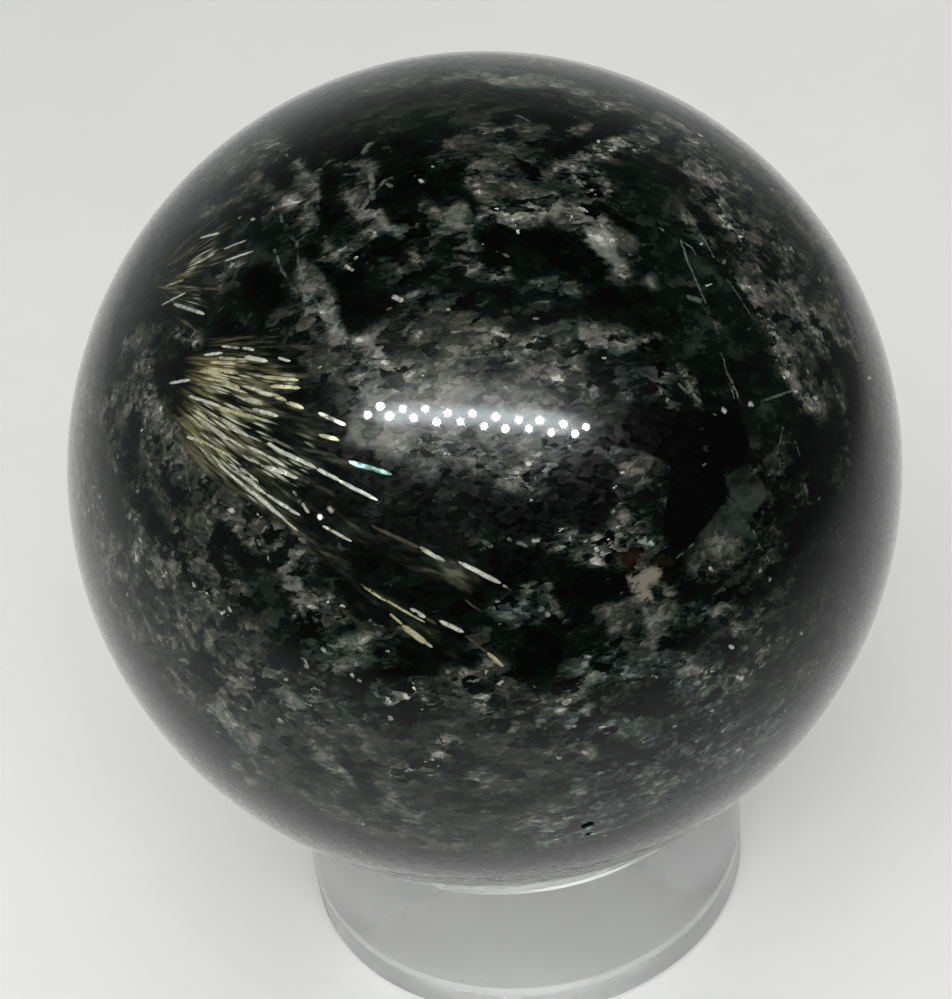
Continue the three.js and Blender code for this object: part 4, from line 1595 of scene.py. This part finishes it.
@dataclass
class StoneSphere:
    """The polished ball.

    Attributes:
        low: Lowest corner of the solid's box, in metres.
        high: Highest corner of the solid's box, in metres.
        divisions: Parts that each edge of the first icosahedron is divided into.
        skin: How far the piece stays inside the solid's box, in metres.
        dull_depth: Depth in millimetres from which a pit has no polish and is painted fully dark as shade.
        pit_cuts: Cuts across each triangle's edge near a pit.
        piece: The ball in the scene, once it is built.
    """

    low: Vector
    high: Vector
    divisions: int = 92
    skin: float = 0.004 * MM
    dull_depth: float = 0.1
    pit_cuts: int = 4
    piece: bpy.types.Object = field(init=False)

    @property
    def centre(self) -> Vector:
        """Middle of the sphere."""
        return (Vector(self.low) + Vector(self.high)) / 2

    @property
    def radius(self) -> float:
        """Radius of the sphere."""
        return (self.high[0] - self.low[0]) / 2 - self.skin

    def ball(self) -> tuple[np.ndarray, np.ndarray]:
        """Divide an icosahedron evenly and push it out to a ball of radius 1.

        Returns:
            The corners, and the triangles by corner number.
        """
        coarse = bmesh.new()
        bmesh.ops.create_icosphere(coarse, subdivisions=1, radius=1.0)
        faces = [[np.array(v.co) for v in face.verts] for face in coarse.faces]
        coarse.free()
        count = self.divisions
        steps = [(i, j) for i in range(count + 1) for j in range(count + 1 - i)]
        number = {step: place for place, step in enumerate(steps)}
        share = np.array([(count - i - j, i, j) for i, j in steps]) / count
        small = [(number[i, j], number[i + 1, j], number[i, j + 1]) for i, j in steps if i + j < count]
        small += [(number[i + 1, j], number[i + 1, j + 1], number[i, j + 1])
                  for i, j in steps if i + j < count - 1]
        corners = np.concatenate([unit(share @ np.array(face)) for face in faces])
        triangles = np.concatenate([np.array(small) + len(steps) * place for place in range(len(faces))])
        digits = 6
        places = np.round(corners, digits)
        _, first, joined = np.unique(places, axis=0, return_index=True, return_inverse=True)
        return corners[first], joined.reshape(-1)[triangles]

    def build(self, pattern: RockPattern) -> None:
        """Make the ball's mesh with the pattern's fields on it.

        Args:
            pattern: The rock's pattern.
        """
        ball = bpy.data.meshes.new("ball")
        spots, triangles = self.ball()
        ball.from_pydata(spots.tolist(), [], triangles.tolist())
        mesh = self.finer_at_pits(ball, pattern)
        spots = np.empty(3 * len(mesh.vertices))
        mesh.vertices.foreach_get("co", spots)
        spots = spots.reshape(-1, 3)
        middles = np.empty(3 * len(mesh.polygons))
        mesh.polygons.foreach_get("center", middles)
        depths = pattern.pit_depths(spots)
        places = spots * (self.radius - depths[:, None] * MM) + np.array(self.centre)
        mesh.vertices.foreach_set("co", places.ravel())
        mesh.update()
        mesh.shade_smooth()
        fields = pattern.fields(spots) | {"pit": np.minimum(depths / self.dull_depth, 1.0)}
        for name, values in fields.items():
            layer = mesh.attributes.new(name, "FLOAT", "POINT")
            layer.data.foreach_set("value", values.astype(np.float32))
        for name, values in pattern.streaks(unit(middles.reshape(-1, 3))).items():
            kind, part = ("FLOAT_VECTOR", "vector") if values.ndim == 2 else ("FLOAT", "value")
            layer = mesh.attributes.new(name, kind, "FACE")
            layer.data.foreach_set(part, values.astype(np.float32).ravel())
        self.piece = new_piece("stone_sphere", mesh, "sphere")

    def finer_at_pits(self, ball: bpy.types.Mesh, pattern: RockPattern) -> bpy.types.Mesh:
        """Divide the ball's triangles further near the pits.

        Args:
            ball: A ball of radius 1.
            pattern: The rock's pattern.

        Returns:
            A ball of radius 1 with finer triangles at the pits.
        """
        finer = bmesh.new()
        finer.from_mesh(ball)
        edges = list(finer.edges)
        middles = unit(np.array([edge.verts[0].co + edge.verts[1].co for edge in edges]))
        near = np.zeros(len(edges), bool)
        margin = 0.2
        for pit in PITS:
            line = [pattern.at(pit.start), pattern.at(pit.end)]
            near |= pattern.distance(middles, line) < 2.5 * pit.half_width + margin
        chosen = [edges[place] for place in np.flatnonzero(near)]
        bmesh.ops.subdivide_edges(finer, edges=chosen, cuts=self.pit_cuts, use_grid_fill=True)
        bmesh.ops.triangulate(finer, faces=[face for face in finer.faces if len(face.verts) > 3])
        for corner in finer.verts:
            corner.co.normalize()
        mesh = bpy.data.meshes.new("stone_sphere")
        finer.to_mesh(mesh)
        finer.free()
        bpy.data.meshes.remove(ball)
        return mesh

    def dress(self, finish: PolishedRock, smudges: bpy.types.NodeTree) -> None:
        """Give the ball its finish.

        Args:
            finish: The rock's finish.
            smudges: The shared smudge effect.
        """
        self.piece.data.materials.append(finish.build(smudges))


class RingFace(Enum):
    """Which finish a face of the ring has, numbered in the order of its materials."""

    WALL = 0  # polished wall and rim
    FOOT = 1  # sawn foot
    BORE = 2  # rim's edge, seat and drilled bore
    EDGE = 3  # bore's worn bottom edge


@dataclass
class RingStand:
    """The clear ring that the ball rests in.

    Attributes:
        low: Lowest corner of the solid's box, in metres.
        high: Highest corner of the solid's box, in metres.
        bore_radius: Radius of the bore.
        seat_radius: Radius of the conical seat's upper edge.
        seat_slope: Slope of the seat, in degrees.
        rim_chamfer: Size of the outer top edge's chamfer.
        foot_outer_chamfer: Size of the outer bottom edge's chamfer.
        foot_inner_chamfer: Size of the bore's bottom edge's chamfer.
        softening: How far the worn rounding of an edge reaches.
        facets: Steps round the ring.
        sharp_angle: Bend from which an edge is shaded sharp, in degrees.
        piece: The ring in the scene, once it is built.
    """

    low: Vector
    high: Vector
    bore_radius: float = 13.0 * MM
    seat_radius: float = 15.5 * MM
    seat_slope: float = 30.0
    rim_chamfer: float = 0.15 * MM
    foot_outer_chamfer: float = 0.25 * MM
    foot_inner_chamfer: float = 0.5 * MM
    softening: float = 0.04 * MM
    facets: int = 256
    sharp_angle: float = 15.0
    piece: bpy.types.Object = field(init=False)

    def section(self) -> list[tuple[float, float]]:
        """List the section's corners round it.

        Returns:
            Radius and height of each corner, in metres.
        """
        outer = self.high[0]
        top = self.high[2]
        seat_drop = (self.seat_radius - self.bore_radius) * math.tan(math.radians(self.seat_slope))
        return [
            (self.bore_radius + self.foot_inner_chamfer, self.low[2]),
            (outer - self.foot_outer_chamfer, self.low[2]),
            (outer, self.low[2] + self.foot_outer_chamfer),
            (outer, top - self.rim_chamfer),
            (outer - self.rim_chamfer, top),
            (self.seat_radius, top),
            (self.bore_radius, top - seat_drop),
            (self.bore_radius, self.low[2] + self.foot_inner_chamfer),
        ]

    def worn(self, corners: list[tuple[float, float]]) -> list[tuple[float, float]]:
        """Round the corners of a section a little.

        Args:
            corners: The section's corners.

        Returns:
            Three points for each corner, all inside the section.
        """
        points = []
        for before, corner, after in zip(corners[-1:] + corners[:-1], corners, corners[1:] + corners[:1]):
            here = np.array(corner)
            into, out = np.array(before) - here, np.array(after) - here
            first = here + self.softening * into / np.linalg.norm(into)
            last = here + self.softening * out / np.linalg.norm(out)
            points += [tuple(first), tuple((first + 2 * here + last) / 4), tuple(last)]
        return points

    def face_of(self, start: tuple[float, float], end: tuple[float, float]) -> RingFace:
        """Tell which finish a part of the section has.

        Args:
            start: One end of the part.
            end: The other end.

        Returns:
            The finish.
        """
        height = max(start[1], end[1]) - self.low[2]
        inside = max(start[0], end[0]) < self.seat_radius
        near = 1.2
        if height <= self.foot_inner_chamfer / 2:
            return RingFace.FOOT
        if inside and height <= near * self.foot_inner_chamfer:
            return RingFace.EDGE
        on_rim_edge = min(start[1], end[1]) > self.high[2] - near * self.rim_chamfer
        slopes = abs(start[1] - end[1]) > self.softening / 10
        return RingFace.BORE if inside or (on_rim_edge and slopes) else RingFace.WALL

    def build(self) -> None:
        """Turn the section round the upright axis."""
        section = self.worn(self.section())
        ring = bmesh.new()
        loops = []
        for step in range(self.facets):
            angle = 2 * math.pi * step / self.facets
            loops.append([ring.verts.new((r * math.cos(angle), r * math.sin(angle), z)) for r, z in section])
        for one, two in zip(loops, loops[1:] + loops[:1]):
            for corner in range(len(section)):
                after = (corner + 1) % len(section)
                face = ring.faces.new((one[corner], two[corner], two[after], one[after]))
                face.smooth = True
                face.material_index = self.face_of(section[corner], section[after]).value
        mesh = bpy.data.meshes.new("clear_ring")
        ring.to_mesh(mesh)
        ring.free()
        mesh.set_sharp_from_angle(angle=math.radians(self.sharp_angle))
        self.piece = new_piece("clear_ring", mesh, "ring_stand")

    def dress(self, finish: ClearPlastic, smudges: bpy.types.NodeTree) -> None:
        """Give the walls, the foot and the bore their finishes, in the order of RingFace.

        Args:
            finish: The clear plastic.
            smudges: The shared smudge effect.
        """
        for name, roughness, clearness in (
            ("clear_wall", finish.wall_roughness, finish.clearness),
            ("sawn_foot", finish.foot_roughness, finish.clearness),
            ("drilled_bore", finish.bore_roughness, finish.clearness),
            ("worn_edge", finish.foot_roughness, finish.edge_clearness),
        ):
            self.piece.data.materials.append(finish.build(name, roughness, clearness, smudges))


# Studio


@dataclass(frozen=True)
class LampBar:
    """The row of small round lamps, and a single one, that show as bright dots in the polish.

    Attributes:
        first: Where the first dot shows in the photograph.
        last: Where the last dot shows.
        count: How many dots there are.
        stagger: How far the dots lie above and below their middle line in turn, in pixels.
        uneven: How far a dot lies off its place at most, across and down, in pixels.
        reach: From the sphere to the lamps, in metres.
        sizes: Least and greatest width of a lamp, in metres.
        power: Power of a lamp, in watts.
        glow_power: Power of the panel behind the lamps, in watts.
        glow_colour: Tint of the panel.
        glow_size: Length and height of the panel as shares of the row's length.
        glow_gap: From the lamps to the panel, in metres.
        single: Where the single dot shows in the photograph.
        single_size: Width of its lamp, in metres.
        single_power: Power of its lamp, in watts.
        seed: Seed of the unevenness.
    """

    first: Pixel = (367.6, 409.3)
    last: Pixel = (587.0, 430.2)
    count: int = 20
    stagger: float = 4.9
    uneven: Pixel = (1.2, 1.5)
    reach: float = 0.45
    sizes: tuple[float, float] = (0.0105, 0.0145)
    power: float = 0.7
    glow_power: float = 3.2
    glow_colour: tuple[float, float, float] = (0.88, 1.0, 1.04)
    glow_size: tuple[float, float] = (1.05, 0.15)
    glow_gap: float = 0.01
    single: Pixel = (320.0, 517.0)
    single_size: float = 0.010
    single_power: float = 0.04
    seed: int = 5


@dataclass
class Studio:
    """Pale floor and soft light.

    Attributes:
        view: The photograph's viewpoint.
        floor_size: Width of the floor, in metres.
        fade_middle: Middle of the part of the floor that shows, in metres.
        fade: Where the floor has faded out and where it begins to, as shares of half its width.
        air_gap: How far the floor lies under the stand's foot, in metres.
        floor_colour: Colour of the floor.
        floor_dim: Brightness of its darker clouds as a share of that.
        cloud_size: Size of its clouds, in millimetres.
        floor_roughness: Roughness of the floor.
        room_colour: Colour of the dim room.
        room_strength: Brightness of the room at the horizon.
        room_dark: Brightness of the room overhead.
        soft_lamps: Wide square lamps that don't show in the polish: name, place in metres, width in
            metres and power in watts.
        bar: The small lamps.
    """

    view: PhotoView
    floor_size: float = 1.6
    fade_middle: tuple[float, float] = (-0.08, 0.12)
    fade: tuple[float, float] = (0.38, 0.24)
    air_gap: float = 0.06 * MM
    floor_colour: Colour = srgb(226, 226, 225)
    floor_dim: float = 0.93
    cloud_size: float = 30.0
    floor_roughness: float = 0.6
    room_colour: Colour = (0.96, 0.98, 0.97, 1.0)
    room_strength: float = 0.31
    room_dark: float = 0.02
    soft_lamps: tuple[tuple[str, tuple[float, float, float], float, float], ...] = (
        ("soft_top", (0.0, -0.1, 1.4), 2.6, 13.5),
        ("soft_front", (-0.03, -0.36, 0.35), 0.6, 3.0),
        ("soft_back", (0.20, 0.60, 0.50), 0.6, 1.7),
        ("soft_left", (-0.60, 0.0, 0.55), 0.5, 0.5),
    )
    bar: LampBar = LampBar()

    def build_floor(self) -> None:
        """Lay the floor, which fades out all round."""
        half = self.floor_size / 2
        mesh = bpy.data.meshes.new("pale_floor")
        corners = [(-half, -half, -self.air_gap), (half, -half, -self.air_gap),
                   (half, half, -self.air_gap), (-half, half, -self.air_gap)]
        mesh.from_pydata(corners, [], [(0, 1, 2, 3)])
        floor = bpy.data.objects.new("pale_floor", mesh)
        bpy.context.scene.collection.objects.link(floor)
        material, wire, shader = new_material("pale_floor")
        place = wire.vector("SCALE", wire.add("TexCoord").outputs["Object"], scale=1 / MM)
        cloud = wire.noise(place, self.cloud_size, 4.0, 0.6).outputs["Fac"]
        dim = tuple(self.floor_dim * part for part in self.floor_colour[:3]) + (1.0,)
        wire.feed(shader.inputs["Base Color"], wire.blend(cloud, dim, self.floor_colour))
        shader.inputs["Roughness"].default_value = self.floor_roughness
        middle = (self.fade_middle[0] / MM, self.fade_middle[1] / MM, 0.0)
        reach = wire.vector("LENGTH", wire.vector("SUBTRACT", place, middle))
        gone, whole = (share * half / MM for share in self.fade)
        wire.feed(shader.inputs["Alpha"], wire.step(reach, gone, whole))
        mesh.materials.append(material)

    def lamp(self, name: str, kind: str, place: Sequence[float], target: Sequence[float], size: float,
             power: float) -> bpy.types.Object:
        """Hang an area lamp.

        Args:
            name: Its name.
            kind: DISK, SQUARE or RECTANGLE.
            place: Where it hangs.
            target: What it points at.
            size: Its width in metres.
            power: Its power in watts.

        Returns:
            The lamp.
        """
        data = bpy.data.lights.new(name, "AREA")
        data.shape = kind
        data.size = size
        data.energy = power
        lamp = bpy.data.objects.new(name, data)
        bpy.context.scene.collection.objects.link(lamp)
        lamp.location = Vector(place)
        lamp.rotation_euler = Vector(np.array(target) - np.array(place)).to_track_quat("-Z", "Y").to_euler()
        return lamp

    def build_lamps(self) -> None:
        """Hang the soft lamps, the bar of small lamps and the single small lamp."""
        for name, place, size, power in self.soft_lamps:
            soft = self.lamp(name, "SQUARE", place, self.view.target, size, power)
            soft.visible_glossy = False
            soft.visible_transmission = False
        bar = self.bar
        first, last = np.array(bar.first), np.array(bar.last)
        draw = random.Random(bar.seed)
        places = []
        for number in range(bar.count):
            pixel = first + (last - first) * number / (bar.count - 1)
            pixel[1] += bar.stagger if number % 2 == 0 else -bar.stagger
            pixel += [draw.uniform(-most, most) for most in bar.uneven]
            name = f"bar_lamp_{number + 1}"
            places.append(self.build_small_lamp(name, tuple(pixel), draw.uniform(*bar.sizes), bar.power))
        self.build_bar_glow(places[0], places[-1])
        self.build_small_lamp("small_lamp", bar.single, bar.single_size, bar.single_power)

    def build_small_lamp(self, name: str, pixel: Pixel, size: float, power: float) -> np.ndarray:
        """Hang a small round lamp that shows only in the polish.

        Args:
            name: Its name.
            pixel: Where in the photograph the sphere mirrors it.
            size: Its width in metres.
            power: Its power in watts.

        Returns:
            Where it hangs.
        """
        point, towards = self.view.mirror_at(pixel)
        place = point + self.bar.reach * towards
        small = self.lamp(name, "DISK", place, point, size, power)
        small.visible_diffuse = False
        small.visible_transmission = False
        return place

    def build_bar_glow(self, first: np.ndarray, last: np.ndarray) -> None:
        """Hang the softly glowing panel that the small lamps sit on.

        Args:
            first: Place of the first small lamp.
            last: Place of the last small lamp.
        """
        bar = self.bar
        middle = (first + last) / 2
        away = unit(middle - np.array(self.view.target))
        upright = unit(np.cross(away, last - first))
        across, high = (share * float(np.linalg.norm(last - first)) for share in bar.glow_size)
        place = middle + bar.glow_gap * away
        panel = self.lamp("bar_glow", "RECTANGLE", place, middle, across, bar.glow_power)
        panel.data.color = bar.glow_colour
        panel.data.size_y = high
        axes = np.array([np.cross(upright, away), upright, away]).T
        panel.rotation_euler = Matrix(axes.tolist()).to_euler()
        panel.visible_diffuse = False
        panel.visible_transmission = False
        panel.data.use_nodes = True
        wire = Wiring(panel.data.node_tree)
        parts = wire.add("SeparateXYZ")
        wire.feed(parts.inputs[0], wire.add("NewGeometry").outputs["Parametric"])
        # The glow fades towards the panel's ends, and evenly towards its long edges
        glow = None
        for part, full in ((0, 0.70), (1, 0.0)):
            off = wire.maths("ABSOLUTE", wire.maths("MULTIPLY_ADD", parts.outputs[part], 2.0, -1.0))
            share = wire.step(off, 1.0, full)
            glow = share if glow is None else wire.maths("MULTIPLY", glow, share)
        wire.feed(panel.data.node_tree.nodes["Emission"].inputs["Strength"], glow)

    def build_room(self) -> None:
        """Give the room its dim light: it fades from the horizon to dark overhead, in front and right."""
        world = bpy.data.worlds.new("dim_room")
        world.use_nodes = True
        wire = Wiring(world.node_tree)
        background = world.node_tree.nodes["Background"]
        parts = wire.add("SeparateXYZ")
        wire.feed(parts.inputs[0], wire.add("TexCoord").outputs["Generated"])
        right, ahead, up = parts.outputs
        level = wire.step(up, 0.75, 0.0, self.room_strength)
        back = wire.step(ahead, -1.0, 0.1)
        back = wire.maths("ADD", back, wire.step(ahead, 0.45, 0.95, 0.6))
        left = wire.maths("SUBTRACT", 1.0, wire.step(right, 0.2, 0.9, 0.8))
        glow = wire.maths("MULTIPLY", wire.maths("MULTIPLY", level, back), left)
        wire.feed(background.inputs["Strength"], wire.maths("ADD", glow, self.room_dark))
        background.inputs["Color"].default_value = self.room_colour
        bpy.context.scene.world = world

    def build(self) -> None:
        """Make everything that stands round the object."""
        self.build_floor()
        self.build_lamps()
        self.build_room()
        bpy.context.scene.view_settings.view_transform = "Standard"


def main() -> None:
    """Build the camera, the sphere, the stand and the studio, and note the sizes."""
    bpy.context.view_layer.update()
    sphere = StoneSphere(*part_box("sphere"))
    view = PhotoView(sphere.centre, sphere.radius)
    view.build()
    smudges = smudge_group()
    sphere.build(RockPattern(view, sphere.radius / MM))
    sphere.dress(PolishedRock(), smudges)
    LOG.info("sphere: %d faces", len(sphere.piece.data.polygons))
    stand = RingStand(*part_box("ring_stand"))
    stand.build()
    stand.dress(ClearPlastic(), smudges)
    LOG.info("ring stand: %d faces", len(stand.piece.data.polygons))
    Studio(view).build()


if __name__ == "__main__":
    logging.basicConfig(level=logging.INFO, format="%(name)s: %(message)s")
    main()
